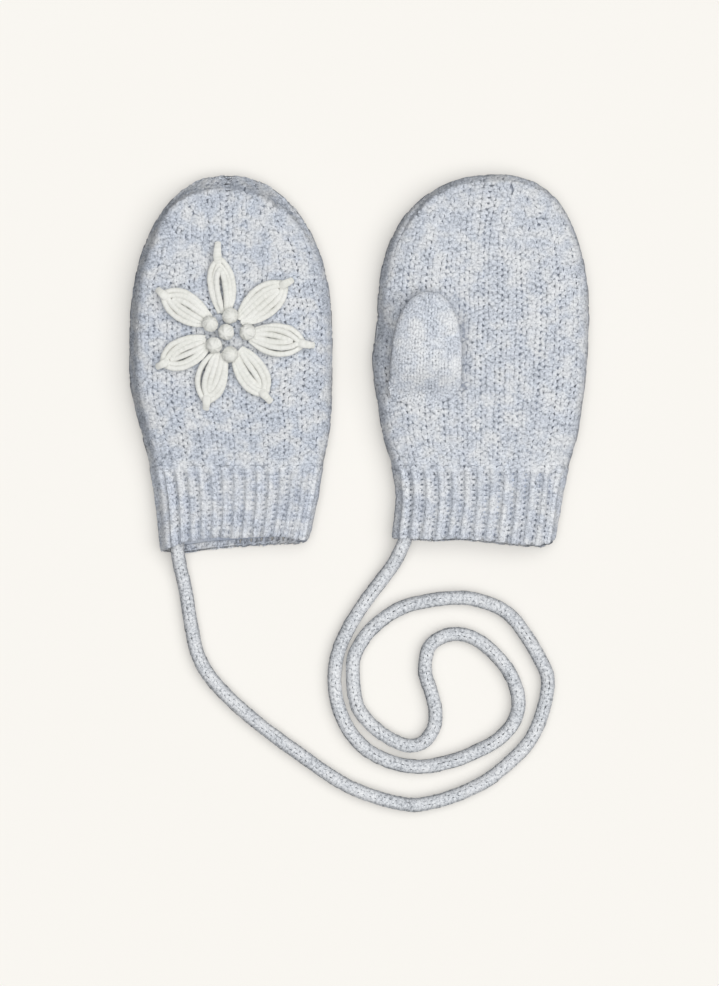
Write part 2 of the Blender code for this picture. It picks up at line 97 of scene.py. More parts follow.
def smooth_line(route, samples=24):
    """A smooth curve through a route's points."""
    slopes = np.gradient(route, axis=0)
    f = (np.arange(samples) / samples)[:, None]
    runs = [between(f, route[i], route[i + 1], slopes[i], slopes[i + 1])
            for i in range(len(route) - 1)]
    return np.concatenate([*runs, route[-1:]])


def ease(share):
    """Rise smoothly from 0 to 1 as the share does."""
    share = np.clip(share, 0.0, 1.0)
    return share * share * (3 - 2 * share)


def unit(vectors):
    """The same directions, each one long."""
    return vectors / np.maximum(np.linalg.norm(vectors, axis=-1, keepdims=True), 1e-12)


def once_round(columns):
    """Angles once round a section, from the middle of its underside over the left."""
    return np.linspace(1.5 * math.pi, -0.5 * math.pi, columns + 1)


def lengths(points):
    """How far along a line each of its points lies."""
    return np.concatenate(([0.0], np.cumsum(np.linalg.norm(np.diff(points, axis=0), axis=1))))


def respaced(points, places):
    """Points of a line at the given shares of its length."""
    reached = lengths(points)
    if reached[-1] < 1e-9:
        return np.repeat(points[:1], len(places), axis=0)
    places = places * reached[-1]
    return np.stack([np.interp(places, reached, points[:, k]) for k in range(3)], axis=1)


# %% [markdown]
# ## Surfaces
# A knitted piece follows a smooth surface.  Here a surface is a table of points:
# its rows run round the piece, and its columns run along it from the edge where
# the knitting starts.  Spacing both evenly makes every stitch the same size.

# %% Tables of points
def even_table(rings, rows, columns):
    """Respace rings of points, first round each ring and then along the piece.
    Every ring is closed: its last point is its first."""
    places = np.arange(columns + 1) / columns
    table = np.stack([respaced(ring, places) for ring in rings])[:, :-1]
    along = np.arange(rows + 1) / rows
    return np.stack([respaced(table[:, k], along) for k in range(columns)], axis=1)


def outward(table):
    """The direction that faces away from the piece at each point of a table."""
    along = np.gradient(table, axis=0)
    around = np.roll(table, -1, axis=1) - np.roll(table, 1, axis=1)
    facing = np.cross(around, along)
    size = np.linalg.norm(facing, axis=2, keepdims=True)
    facing = facing / np.maximum(size, 1e-12)
    facing[-1] = np.where(size[-1] < 1e-9, facing[-2], facing[-1])
    return facing


def read_table(table, along, around):
    """Read a table between its points: along from 0 to 1, around as shares."""
    rows, columns = table.shape[0] - 1, table.shape[1]
    i, k = np.clip(along, 0.0, 0.999999) * rows, (around % 1.0) * columns
    i0, k0 = np.floor(i).astype(int), np.floor(k).astype(int) % columns
    k1 = (k0 + 1) % columns
    up, on = (i - i0)[:, None], (k - np.floor(k))[:, None]
    low = table[i0, k0] * (1 - on) + table[i0, k1] * on
    high = table[i0 + 1, k0] * (1 - on) + table[i0 + 1, k1] * on
    beyond = np.where(along < 0, along, 0)[:, None] * rows
    return low * (1 - up) + high * up + beyond * (table[1, k0] - table[0, k0])


# %% [markdown]
# ## One yarn after another
# Knitting is one yarn that runs in rows of loops, each pulled through the loop
# below it.  A sine and its double give such a loop: the yarn goes up, over the
# head of the loop and down, and its two legs lean towards each other.  On a knit
# stitch the legs come to the front, and on a purl stitch the bends above and
# below them do.  Only the sign of the yarn's height changes between the two.
# Where the legs lean outwards they draw the V of plain knitting, and a small dark
# hollow stays in each V.
#
# The loops are worked out as arrays, because thousands of them have to meet
# exactly.  Creases draw the upper side of the cloth in along short lines.

# %% The path of the yarn
LOOP_HALF = 0.86       # half a loop's height, in rows
AT_SIDES = 0.35        # share of its depth that the knitting keeps on a stretched side
CREASED_FROM = 0.005   # creases are on the upper side, so they start at this height
CREASED_OVER = 0.003   # and have their whole depth this much higher


def drawn_in(places, creases):
    """How far creases draw the upper side of the cloth in, at each place."""
    deep = np.zeros(len(places))
    for start_x, start_y, end_x, end_y, width, depth in creases:
        start, run = np.array((start_x, start_y)), np.array((end_x - start_x, end_y - start_y))
        from_start = places[:, :2] - start
        share = np.clip(from_start @ run / (run @ run), 0.0, 1.0)
        away = np.linalg.norm(from_start - share[:, None] * run, axis=1)
        deep = np.maximum(deep, depth * np.exp(-(away / width) ** 2))
    return deep * ease((places[:, 2] - CREASED_FROM) / CREASED_OVER)


def yarn_path(cloth, stitches, steps, depth, creases=()):
    """The line that the yarn follows through its stitches, the direction that faces
    out of the cloth there, and where that is in the cloth's table."""
    table, facing = cloth
    turn = (-math.pi + 2 * math.pi * (np.arange(steps) + 0.5) / steps)[None, :]
    own = {key: values[:, None] for key, values in stitches.items()}
    swing = turn / (2 * math.pi) + own["lean"] * np.sin(2 * turn) - own["squeeze"] * np.sin(turn)
    around = (own["middle"] + own["width"] * swing).ravel()
    tall = LOOP_HALF * own["tall"] * np.cos(turn)
    along = ((own["row"] + 0.5 + tall) * own["row_share"]).ravel()
    head, left, right = np.abs(turn) < math.pi / 2, turn <= -math.pi / 2, turn >= math.pi / 2
    bends = head * own["head"] + left * own["left"] + right * own["right"]
    height = depth * (np.sin(turn) ** 2 * own["legs"] + np.cos(turn) ** 2 * bends)
    places, away = read_table(table, along, around), unit(read_table(facing, along, around))
    height = height.ravel() * (AT_SIDES + (1 - AT_SIDES) * np.abs(away[:, 2]))
    height += stitches["lift"].repeat(steps) - drawn_in(places, creases)
    return places + away * height[:, None], away, along, around


# %% [markdown]
# Each row of loops becomes one long tube of yarn.  The wool is felted a little,
# so the fibres of neighbouring loops lie over each other and shade together: the
# tubes' normals lean towards the cloth's, and wholly so on its steep sides.

# %% Yarn as a mesh
UNEVEN_YARN = 0.045    # how much its thickness varies
FLATTENED = 0.64       # it lies pressed together, lower than it is wide
MATTED = 0.55          # how much the felted fibres shade like one smooth cloth
SMOOTH_SIDES = 0.97    # and how much they do on its steep sides
SHIFT = 0.031          # each tube starts this much farther along the wool's flecks
SHIFTS = 97            # and after so many tubes the shift starts again
yarn_chance = np.random.default_rng(7)


def add_piece(name, mesh):
    """A new object for a mesh."""
    piece = bpy.data.objects.new(name, mesh)
    bpy.context.scene.collection.objects.link(piece)
    return piece


def tube_mesh(name, path, away, starts, closed, radius, sides=6, matted=0.0, shade=None):
    """One tube for each run of the path's points, with an even number of sides.  The
    map "yarn" holds the length along the yarn, in centimetres, and the turn round
    it.  Matted yarn's normals lean towards the directions in shade, or else away."""
    count = len(path)
    ends = np.append(starts[1:], count)
    step_on, step_back = np.arange(count) + 1, np.arange(count) - 1
    step_on[ends - 1] = starts if closed else ends - 1
    step_back[starts] = ends - 1 if closed else starts
    run = unit(path[step_on] - path[step_back])
    side = unit(np.cross(run, away))
    turn = 2 * math.pi * np.arange(sides) / sides + math.pi
    up = np.cos(turn)[None, :, None] * np.cross(side, run)[:, None]
    out = np.sin(turn)[None, :, None] * side[:, None]
    radius = radius * yarn_chance.normal(1, UNEVEN_YARN, count)
    points = path[:, None] + (FLATTENED * up + out) * radius[:, None, None]

    first = np.arange(count) if closed else np.setdiff1d(np.arange(count), ends - 1)
    j = np.arange(sides)[None, :]
    j1, a, b = (j + 1) % sides, first[:, None] * sides, step_on[first][:, None] * sides
    faces = np.stack([a + j, a + j1, b + j1, b + j], axis=2).reshape(-1, 4)
    steps = np.linalg.norm(np.diff(path, axis=0, prepend=path[:1]), axis=1)
    steps[starts] = SHIFT * (1 + np.arange(len(starts)) % SHIFTS)
    low = np.cumsum(steps)[first] * 100
    high = low + np.linalg.norm(path[step_on[first]] - path[first], axis=1) * 100
    u = np.stack([low, low, high, high], axis=1)[:, None].repeat(sides, axis=1)
    v = np.broadcast_to((np.arange(sides)[:, None] + (0, 1, 1, 0)) / sides, u.shape)
    uv = np.stack([u, v], axis=3).reshape(-1, 2)
    if not closed:
        fans = np.array([(0, fan, fan + 1, fan + 2) for fan in range(1, sides - 1, 2)])
        for where, order in ((starts, fans[:, ::-1]), (ends - 1, fans)):
            caps = where[None, :, None] * sides + order[:, None]
            faces = np.concatenate([faces, caps.reshape(-1, 4)])
        uv = np.concatenate([uv, np.zeros((faces.size - len(uv), 2))])

    mesh = bpy.data.meshes.new(name)
    mesh.vertices.add(count * sides)
    mesh.vertices.foreach_set("co", points.ravel())
    mesh.loops.add(faces.size)
    mesh.loops.foreach_set("vertex_index", faces.ravel().astype(np.int32))
    mesh.polygons.add(len(faces))
    mesh.polygons.foreach_set("loop_start", np.arange(0, faces.size, 4, dtype=np.int32))
    mesh.update(calc_edges=True)
    mesh.uv_layers.new(name="yarn").data.foreach_set("uv", uv.ravel())
    mesh.shade_smooth()
    if np.any(matted):
        shade = (away if shade is None else shade)[:, None]
        facing = unit(up / FLATTENED + out)
        outer = np.clip(1 + 2 * (facing * shade).sum(axis=2, keepdims=True), 0, 1)
        outer *= (matted + (SMOOTH_SIDES - matted) * (1 - np.abs(away[:, 2])))[:, None, None]
        facing = unit(facing * (1 - outer) + shade * outer)
        mesh.normals_split_custom_set_from_vertices(facing.reshape(-1, 3))
    return add_piece(name, mesh)


# %% [markdown]
# Light hardly reaches the bottom of a crease or of a furrow between ribs, or the
# steep sides, so shade is painted into the wool's colour there.  Each point of the
# yarn keeps how much painted shade it gets, from how deep or how steep it lies.

# %% Knitting a piece
DEEPEST = 0.0036       # depth of the deepest crease
FURROW_SHADE = 0.176   # how dark a cuff's furrows are beside it
SIDE_SHADE = 0.08      # and how dark a steep side is
LOWEST = 0.00005       # the yarn stays this far above the floor


def set_painted_shade(piece, deep):
    """Keep how much painted shade each point gets, for the wool's colour."""
    deep = np.broadcast_to(deep, (len(deep), len(piece.data.vertices) // len(deep))).ravel()
    piece.data.attributes.new("furrow", "FLOAT", "POINT").data.foreach_set("value", deep)


def knit(name, cloth, stitches, yarn, depth, steps, part=(0.0, 1.0), creases=(), furrows=None,
         side_shade=SIDE_SHADE):
    """Knit a piece, or only the part of it between two shares of the way round."""
    low, high = part
    shifted = (stitches["middle"] - low) % 1.0 + low
    chosen = np.flatnonzero(shifted < high)
    order = chosen[np.lexsort((shifted[chosen], stitches["row"][chosen]))]
    taken = {key: values[order] for key, values in stitches.items()}
    path, away, along, around = yarn_path(cloth, taken, steps, depth, creases)
    starts = np.flatnonzero(np.diff(taken["row"].repeat(steps), prepend=-1))
    piece = tube_mesh(name, path, away, starts, high - low == 1.0, yarn, matted=MATTED)
    # painted shade: deep creases, deep furrows and steep sides darken the yarn's colour
    deep = drawn_in(path, creases) / DEEPEST
    if furrows is not None:
        deep = FURROW_SHADE * read_table(furrows, along, around)[:, 0]
    deep = deep + side_shade * (1 - np.abs(away[:, 2]))
    set_painted_shade(piece, np.clip(deep, 0, 1)[:, None])
    points = np.empty(len(piece.data.vertices) * 3)
    piece.data.vertices.foreach_get("co", points)
    points[2::3] = np.maximum(points[2::3], LOWEST)
    piece.data.vertices.foreach_set("co", points)
    print(name, len(order), "stitches,", 2 * len(piece.data.polygons), "triangles")
    return piece


# %% [markdown]
# ## Planning the stitches
# A plan lists every stitch: its row, its place and width round the piece, which
# of its parts come to the front, and how far it stands out.  Hands never tension
# every stitch alike, so each one is a little off.

# %% A plan of stitches
UNEVEN_PLACE = 0.035      # in widths of a stitch
UNEVEN_HEIGHT = 0.07      # as a share of its height
UNEVEN_LIFT = 0.00006
UNEVEN_LEAN = 0.012


def plan_rows(rows, row_edges, kind_at, lean, squeeze=0.0):
    """Every row's stitches, between the edges that row_edges(row) gives.  kind_at(row,
    number) is 1 for knit and -1 for purl.  Legs lean by a share of the stitch's
    width, and those of knit stitches are squeezed together by another."""
    plan = {}
    for row in range(rows):
        starts, ends, numbers = row_edges(row)
        kinds = np.array([kind_at(row, n) for n in numbers], float)
        above = np.array([kind_at(row + 1, n) for n in numbers], float)
        facts = {"row": np.full(len(numbers), row), "middle": (starts + ends) / 2,
                 "width": ends - starts, "legs": kinds, "head": -above,
                 "left": -(kinds + np.roll(kinds, 1)) / 2,
                 "right": -(kinds + np.roll(kinds, -1)) / 2}
        for key, values in facts.items():
            plan.setdefault(key, []).append(values)
    plan = {key: np.concatenate(values) for key, values in plan.items()}
    count = len(plan["row"])
    plan["row_share"] = np.full(count, 1 / rows)
    plan["middle"] += rng.normal(0, UNEVEN_PLACE, count) * plan["width"]
    plan["tall"] = 1 + rng.normal(0, UNEVEN_HEIGHT, count)
    plan["lean"] = lean + rng.normal(0, UNEVEN_LEAN, count)
    plan["squeeze"] = np.where(plan["legs"] > 0, squeeze, 0.0)
    plan["lift"] = rng.normal(0, UNEVEN_LIFT, count)
    return plan


# %% [markdown]
# ## Wool
# The wool is melange: white and blue fibres are mixed before spinning, so the
# yarn changes colour in short flecks along its length, and whole patches come
# out bluer or paler.  Two noises follow the yarn's own map and one follows the
# piece.  Fibres along the yarn give the bump, and a trace of sheen is its nap.

# %% Nodes of a wool
def add_noise(nodes, links, source, scale, detail, stretch=None, rough=0.5):
    """A noise on a coordinate, stretched first if asked."""
    if stretch:
        mapping = nodes.new("ShaderNodeMapping")
        mapping.inputs["Scale"].default_value = stretch
        links.new(source, mapping.inputs["Vector"])
        source = mapping.outputs["Vector"]
    noise = nodes.new("ShaderNodeTexNoise")
    noise.inputs["Scale"].default_value = scale
    noise.inputs["Detail"].default_value = detail
    noise.inputs["Roughness"].default_value = rough
    links.new(source, noise.inputs["Vector"])
    return noise.outputs["Fac"]


def blend_numbers(nodes, links, first, second, share):
    """first and second mixed, with that share of the second."""
    mix = nodes.new("ShaderNodeMix")
    mix.data_type = "FLOAT"
    mix.inputs["Factor"].default_value = share
    links.new(first, mix.inputs["A"])
    links.new(second, mix.inputs["B"])
    return mix.outputs["Result"]


def tinted(nodes, links, colour, tint, share):
    """A colour multiplied by a tint, as far as the share says."""
    mix = nodes.new("ShaderNodeMix")
    mix.data_type = "RGBA"
    mix.blend_type = "MULTIPLY"
    mix.inputs["B"].default_value = (*tint, 1)
    links.new(share, mix.inputs["Factor"])
    links.new(colour, mix.inputs["A"])
    return mix.outputs["Result"]


# %% [markdown]
# One function makes all the wools.  They differ in their tones, in the tint of
# their bluer patches, and in what the painted shade of the deepest furrow leaves of the colour.

# %% Wools
# painted shade: at the bottom of the deepest crease the wool keeps this share of its colour
SHADE_IN_FURROWS = (0.32, 0.34, 0.38)   # wool at the bottom of the deepest crease keeps this share
FLECKS, FIBRES = (9.0, 2.0, 1.0), (22.0, 7.0, 1.0)    # how fine along and round the yarn
HAIR_SHARE, PATCH_SHARE = 0.45, 0.12                  # how much they change the tone
TONES_FROM, TONES_TO = 0.38, 0.62                     # the noises seldom leave this range
BLUER_FROM, BLUER_TO = 0.68, 0.36                     # lower patches are bluer
MELANGE = ((0.295, 0.308, 0.328), (0.450, 0.464, 0.488), (0.592, 0.606, 0.632),
           (0.682, 0.696, 0.715), (0.734, 0.746, 0.763))
CREAM = ((0.68, 0.685, 0.65), (0.74, 0.74, 0.71), (0.78, 0.78, 0.75))
# dark tones of the wall behind the stitches: painted shade for the hollows between them
INSIDE_SHADE = ((0.22, 0.235, 0.27), (0.30, 0.32, 0.36), (0.39, 0.41, 0.45))


def make_wool(name, tones, tint=(0.915, 0.945, 1.0), patches=150.0, bump=0.4, deep=SHADE_IN_FURROWS):
    """Wool with flecks between a few tones, and with patches of a bluer tint."""
    material = bpy.data.materials.new(name)
    material.use_nodes = True
    nodes, links = material.node_tree.nodes, material.node_tree.links
    shader = nodes["Principled BSDF"]
    places = nodes.new("ShaderNodeTexCoord").outputs["Object"]
    yarn = nodes.new("ShaderNodeUVMap")
    yarn.uv_map = "yarn"
    patch = add_noise(nodes, links, places, patches, 1.0)
    marl = add_noise(nodes, links, yarn.outputs["UV"], 1.0, 1.0, FLECKS)
    hairs = add_noise(nodes, links, yarn.outputs["UV"], 1.0, 3.0, FIBRES, 0.65)
    tone = blend_numbers(nodes, links, marl, hairs, HAIR_SHARE)
    tone = blend_numbers(nodes, links, tone, patch, PATCH_SHARE)
    ramp = nodes.new("ShaderNodeValToRGB")
    ramp.color_ramp.interpolation = "EASE"
    stops = np.linspace(TONES_FROM, TONES_TO, len(tones))
    for end in (0, -1):
        ramp.color_ramp.elements[end].position = stops[end]
        ramp.color_ramp.elements[end].color = (*tones[end], 1)
    for stop, colour in zip(stops[1:-1], tones[1:-1]):
        ramp.color_ramp.elements.new(stop).color = (*colour, 1)
    links.new(tone, ramp.inputs["Fac"])
    strength = nodes.new("ShaderNodeMapRange")
    strength.interpolation_type = "SMOOTHSTEP"
    strength.inputs["From Min"].default_value = BLUER_FROM
    strength.inputs["From Max"].default_value = BLUER_TO
    links.new(patch, strength.inputs["Value"])
    # painted shade: the furrow attribute darkens the colour towards the deep tint
    furrow = nodes.new("ShaderNodeAttribute")
    furrow.attribute_name = "furrow"
    colour = tinted(nodes, links, ramp.outputs["Color"], tint, strength.outputs["Result"])
    colour = tinted(nodes, links, colour, deep, furrow.outputs["Fac"])
    links.new(colour, shader.inputs["Base Color"])
    relief = nodes.new("ShaderNodeBump")
    relief.inputs["Strength"].default_value = bump
    relief.inputs["Distance"].default_value = 0.0004
    links.new(hairs, relief.inputs["Height"])
    links.new(relief.outputs["Normal"], shader.inputs["Normal"])
    shader.inputs["Roughness"].default_value = 0.92
    shader.inputs["Specular IOR Level"].default_value = 0.2
    shader.inputs["Sheen Weight"].default_value = 0.03
    shader.inputs["Sheen Roughness"].default_value = 0.5
    return material


def shaded(tones, share):
    """The same tones, lighter or darker by one share."""
    return tuple(tuple(part * share for part in tone) for tone in tones)


plain_wool = make_wool("melange wool", MELANGE)
flower_wool = make_wool("melange wool, bluer", shaded(MELANGE, 0.965), (0.89, 0.93, 1.0))
# the cuffs and the top thumb get lighter copies of the melange: painted light
plain_lightened = make_wool("melange wool, painted lighter", shaded(MELANGE, 1.06))
flower_lightened = make_wool("melange wool, bluer, painted lighter", shaded(MELANGE, 1.05),
                         (0.90, 0.935, 1.0))
cord_wool = make_wool("cord wool", shaded(MELANGE, 1.05), (0.97, 0.98, 0.99), patches=110.0)
# the cream wool's deep tint is the painted shade on the petals' inner sides
cream_wool = make_wool("cream wool", CREAM, (0.98, 0.98, 0.97), bump=0.6, deep=(0.42, 0.41, 0.38))
painted_shade_wool = make_wool("painted shade behind the stitches", INSIDE_SHADE)
# the cuffs' wall takes those painted shade tones, lightened to about the melange's
cuff_lining = make_wool("wool inside the cuffs", shaded(INSIDE_SHADE, 1.8))
print("wools made")

# %% [markdown]
# Every finished piece gets its wool and its body, and the solids that it stands for are hidden.

# %% A piece that stands for solids
def keep(piece, slot, material, *nodes):
    """Give a finished piece its wool and its body, and hide the solids that it stands for."""
    piece.data.materials.clear()
    piece.data.materials.append(material)
    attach(piece, "root")
    if nodes:
        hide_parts(*nodes)
    return piece


# %% [markdown]
# ## The cord
# The cord is knitted too, as a thin tube of five stitches round.  It leaves the
# left mitten's cuff, runs in a loose double spiral without crossing itself, and
# goes back into the right mitten's cuff.  Its line passes through places read
# from the picture, and the tube of stitches follows it.

# %% The cord's line
CORD_DIAMETER = 0.0062
CORD_REST = 0.0032        # height of its middle line where it lies on the floor
CORD_START = ((-0.0728, -0.0690, 0.0063), (-0.0729, -0.0730, 0.0063), (-0.0727, -0.0772, 0.0057),
              (-0.0718, -0.0824, 0.0040))
CORD_ON_TABLE = (
    (-0.0706, -0.0876), (-0.0694, -0.0936), (-0.0678, -0.1040), (-0.0646, -0.1180),
    (-0.0574, -0.1292), (-0.0440, -0.1420), (-0.0244, -0.1568), (-0.0036, -0.1704),
    (0.0176, -0.1772), (0.0300, -0.1764), (0.0426, -0.1722), (0.0550, -0.1652),
    (0.0696, -0.1504), (0.0760, -0.1300), (0.0724, -0.1180), (0.0612, -0.1016),
    (0.0496, -0.0956), (0.0396, -0.0942), (0.0270, -0.0956), (0.0160, -0.0988),
    (0.0064, -0.1054), (0.0004, -0.1130), (-0.0024, -0.1208), (-0.0012, -0.1360),
    (0.0040, -0.1444), (0.0116, -0.1504), (0.0192, -0.1536), (0.0258, -0.1524),
    (0.0300, -0.1468), (0.0308, -0.1400), (0.0290, -0.1320), (0.0266, -0.1240),
    (0.0280, -0.1144), (0.0338, -0.1098), (0.0408, -0.1088), (0.0476, -0.1112),
    (0.0546, -0.1168), (0.0604, -0.1240), (0.0636, -0.1316), (0.0640, -0.1392),
    (0.0610, -0.1462), (0.0546, -0.1522), (0.0458, -0.1568), (0.0366, -0.1602),
    (0.0254, -0.1622), (0.0144, -0.1608), (0.0040, -0.1560), (-0.0032, -0.1488),
    (-0.0078, -0.1396), (-0.0098, -0.1300), (-0.0094, -0.1204), (-0.0066, -0.1112),
    (-0.0004, -0.1000), (0.0062, -0.0908),
)
CORD_END = ((0.0108, -0.0848, 0.0035), (0.0144, -0.0796, 0.0044), (0.0170, -0.0744, 0.0057),
            (0.0188, -0.0700, 0.0063), (0.0200, -0.0664, 0.0063))
route = np.array([*CORD_START, *((x, y, CORD_REST) for x, y in CORD_ON_TABLE), *CORD_END])
cord_fine = smooth_line(route)
cord_length = lengths(cord_fine)[-1]
print("cord", round(cord_length, 4), "m long")

# %% [markdown]
# The stitches go round that line, and a plain core inside them closes the gaps
# between the loops.  Both are joined to one piece.

# %% The cord's stitches
CORD_WALES = 5
CORD_ROW = 0.00245
CORD_YARN = 0.00084
CORD_DEPTH = 0.00030
CORD_CORE = 0.0019
CORD_LEAN = 0.19
CORD_TURNED = 0.02        # its first wale starts at this share of the way round


def tube_table(line, radius, columns=20):
    """A round tube about a line that lies flat, as a table of points."""
    run = unit(np.gradient(line, axis=0))
    side = unit(np.cross(run, (0.0, 0.0, 1.0)))
    up = np.cross(side, run)
    turn = 2 * math.pi * np.arange(columns) / columns
    ring = np.cos(turn)[None, :, None] * side[:, None] + np.sin(turn)[None, :, None] * up[:, None]
    return line[:, None] + ring * radius


def cord_row_edges(row):
    """The edges of one round of the cord's stitches."""
    edges = np.arange(CORD_WALES + 1) / CORD_WALES + CORD_TURNED
    return edges[:-1], edges[1:], np.arange(CORD_WALES)


cord_line = respaced(cord_fine, np.linspace(0, 1, 1101))
cord_table = tube_table(cord_line, CORD_DIAMETER / 2)
cord_cloth = (cord_table, (cord_table - cord_line[:, None]) / (CORD_DIAMETER / 2))
plan = plan_rows(round(cord_length / CORD_ROW), cord_row_edges, lambda row, number: 1, CORD_LEAN)
plan["lift"] -= FLATTENED * CORD_YARN + CORD_DEPTH
cord = knit("knitted_cord", cord_cloth, plan, CORD_YARN, CORD_DEPTH, 8)
core_line = respaced(cord_fine, np.linspace(0, 1, 321))
up = np.broadcast_to((0.0, 0.0, 1.0), core_line.shape)
core = tube_mesh("cord_core", core_line, up, np.array([0]), False, CORD_CORE, 8)
bpy.ops.object.select_all(action="DESELECT")
core.select_set(True)
cord.select_set(True)
bpy.context.view_layer.objects.active = cord
bpy.ops.object.join()
keep(cord, "cord_knit", cord_wool, "cord")

# %% [markdown]
# ## The form of a mitten
# A mitten is a flattened tube that closes in a rounded tip.  A short table gives
# its section at a few places below its widest one: the reach to the left and the
# right of its middle line, and the height of its upper side.  The upper side's
# left edge leans inwards there, and is folded so sharply.  For the fold, and for
# the power of the rest, 2 is an ellipse and more is fuller.  The rim tells how far
# the right edge slopes in.

# %% Sizes of the mittens
SEAM_HEIGHT = 0.0062      # height of the edge between the upper and the under side
FLAT_SHARE = 1.12         # the underside is a flattened ellipse, flat where it rests
TIP_ROUND = 3.4
CUFF_TOP = -0.0420

#    along    left    right   top     lean   fold power rim
FLOWER_SECTIONS = (
    (0.0112, 0.0411, 0.0412, 0.0168, 0.0046, 9.0, 3.1, 0.0038),
    (-0.0084, 0.0409, 0.0411, 0.0168, 0.0046, 9.0, 3.1, 0.0038),
    (-0.0276, 0.0364, 0.0400, 0.0150, 0.0042, 8.0, 3.1, 0.0030),
    (-0.0404, 0.0331, 0.0374, 0.0130, 0.0038, 7.0, 3.3, 0.0014),
    (-0.0564, 0.0303, 0.0351, 0.0128, 0.0052, 8.0, 3.6, 0.0020),
    (-0.0740, 0.0285, 0.0318, 0.0128, 0.0050, 8.0, 3.6, 0.0020),
)
PLAIN_SECTIONS = (
    (0.0172, 0.0422, 0.0436, 0.0160, 0.0036, 5.0, 3.2, 0.0018),
    (0.0012, 0.0442, 0.0429, 0.0162, 0.0054, 5.5, 3.2, 0.0018),
    (-0.0180, 0.0418, 0.0407, 0.0156, 0.0042, 5.0, 3.2, 0.0016),
    (-0.0308, 0.0396, 0.0386, 0.0144, 0.0028, 4.5, 3.2, 0.0018),
    (-0.0404, 0.0366, 0.0356, 0.0130, 0.0030, 5.0, 3.6, 0.0026),
    (-0.0532, 0.0346, 0.0331, 0.0128, 0.0042, 6.0, 4.5, 0.0034),
    (-0.0732, 0.0360, 0.0300, 0.0128, 0.0040, 6.0, 4.5, 0.0034),
)
#    across   upper    lower edge of the hem
FLOWER_HEM = ((-1.0, -0.0738, -0.0744), (-0.7, -0.0709, -0.0750), (-0.4, -0.0689, -0.0738),
              (0.1, -0.0687, -0.0724), (0.65, -0.0683, -0.0713), (0.9, -0.0694, -0.0710),
              (1.0, -0.0690, -0.0696))
PLAIN_HEM = ((-1.0, -0.0688, -0.0690), (-0.5, -0.0693, -0.0702), (-0.13, -0.0690, -0.0699),
             (0.2, -0.0700, -0.0709), (0.7, -0.0713, -0.0723), (0.9, -0.0710, -0.0720),
             (1.0, -0.0694, -0.0697))
# bevel: the width of the slope along the tip, and how much height it takes away
FLOWER_MITTEN = dict(
    name="flower_mitten", middle=-0.0515, widest=0.0112, tip=0.0758, tip_shift=-0.0014,
    dome_power=2.15, sections=FLOWER_SECTIONS, hem=FLOWER_HEM, ribs=19, under_ribs=13,
    first_rib=2.5, knit_share=0.55, bevel=(0.0060, 0.88), wool=flower_wool, rib_wool=flower_lightened)
PLAIN_MITTEN = dict(
    name="plain_mitten", middle=0.0492, widest=0.0172, tip=0.0762, tip_shift=0.0050,
    dome_power=2.35, sections=PLAIN_SECTIONS, hem=PLAIN_HEM, ribs=17, under_ribs=11,
    first_rib=1.5, knit_share=0.49, bevel=(0.0030, 0.50), wool=plain_wool, rib_wool=plain_lightened)
for mitten in (FLOWER_MITTEN, PLAIN_MITTEN):
    print(mitten["name"], "is", round(mitten["tip"] - mitten["sections"][-1][0], 3), "m long")

# %% [markdown]
# Every section is a closed ring.  The flower mitten's palm arches over the thumb
# that is folded under it, and its tip is drawn together a little.

# %% The section of a mitten
ARCH_HEIGHT = 0.0062
ARCH_HALF = (0.0165, 0.0255)
ARCH_MIDDLE = (-0.0708, 0.0062)
ARCH_FADE = 0.40
ARCH_POWER = 3.5
PINCH = (-0.0530, 0.0722)      # where the flower mitten's tip is drawn together
PINCH_SHARE = 0.20
PINCH_WIDTH = 0.0024
PINCH_LENGTH = 0.0050
BEVEL_FROM = 0.5               # a tip's slope is lost where the dome has less of its length
BEVEL_OVER = 0.35              # and is whole where it has this much more


def dome(along, start, tip, power):
    """How far the width and the height have closed in a rounded tip."""
    t = min(max((along - start) / (tip - start), 0.0), 1.0)
    return (1 - t**power) ** (1 / power), (1 - t**TIP_ROUND) ** (1 / TIP_ROUND)


def sizes_at(mitten, along, inset=0.0):
    """Middle line, half width, top, lean, fold, power, rim and closing of a section."""
    left, right, top, lean, fold, power, rim = smooth_row(mitten["sections"], along)
    tip = mitten["tip"] - inset
    narrow, closing = dome(along, mitten["widest"], tip, mitten["dome_power"])
    share = max(along - mitten["widest"], 0.0) / (tip - mitten["widest"])
    middle = mitten["middle"] + mitten["tip_shift"] * share**4 + (right - left) / 2 * narrow
    half = ((left + right) / 2 - inset) * narrow
    return middle, half, top - inset, lean, fold, power, rim, closing


def arch_over_thumb(mitten, x, y):
    """How far the flower mitten's palm is raised by the thumb folded under it."""
    if mitten is not FLOWER_MITTEN:
        return 0.0
    dx = abs(x - ARCH_MIDDLE[0]) / ARCH_HALF[0]
    dy = abs(y - ARCH_MIDDLE[1]) / ARCH_HALF[1]
    distance = (dx**ARCH_POWER + dy**ARCH_POWER) ** (1 / ARCH_POWER)
    return ARCH_HEIGHT * (1 - ease((distance - 1) / ARCH_FADE))


def kept_at_tip(mitten, x, y):
    """Share of its height that the upper side keeps near the tip, where it slopes
    down in a band along the edge.  The flower mitten's is drawn together there too."""
    power, length = mitten["dome_power"], mitten["tip"] - mitten["widest"]
    half = sum(mitten["sections"][0][1:3]) / 2
    shift = mitten["tip_shift"] * (y > mitten["widest"])
    across = np.minimum(np.abs(x - mitten["middle"] - shift) / half, 1.0)
    reach = (1 - across**power) ** (1 / power)
    band, steep = mitten["bevel"]
    steep = steep * ease((reach - BEVEL_FROM) / BEVEL_OVER)
    below = (mitten["widest"] + length * reach - y) / (band * reach**1.5 + 1e-6)
    kept = 1 - steep * (1 - np.clip(below, 0.0, 1.0))
    if mitten is not FLOWER_MITTEN:
        return kept
    across, along = (x - PINCH[0]) / PINCH_WIDTH, (y - PINCH[1]) / PINCH_LENGTH
    return kept * (1 - PINCH_SHARE * np.exp(-across**2 - along**2))


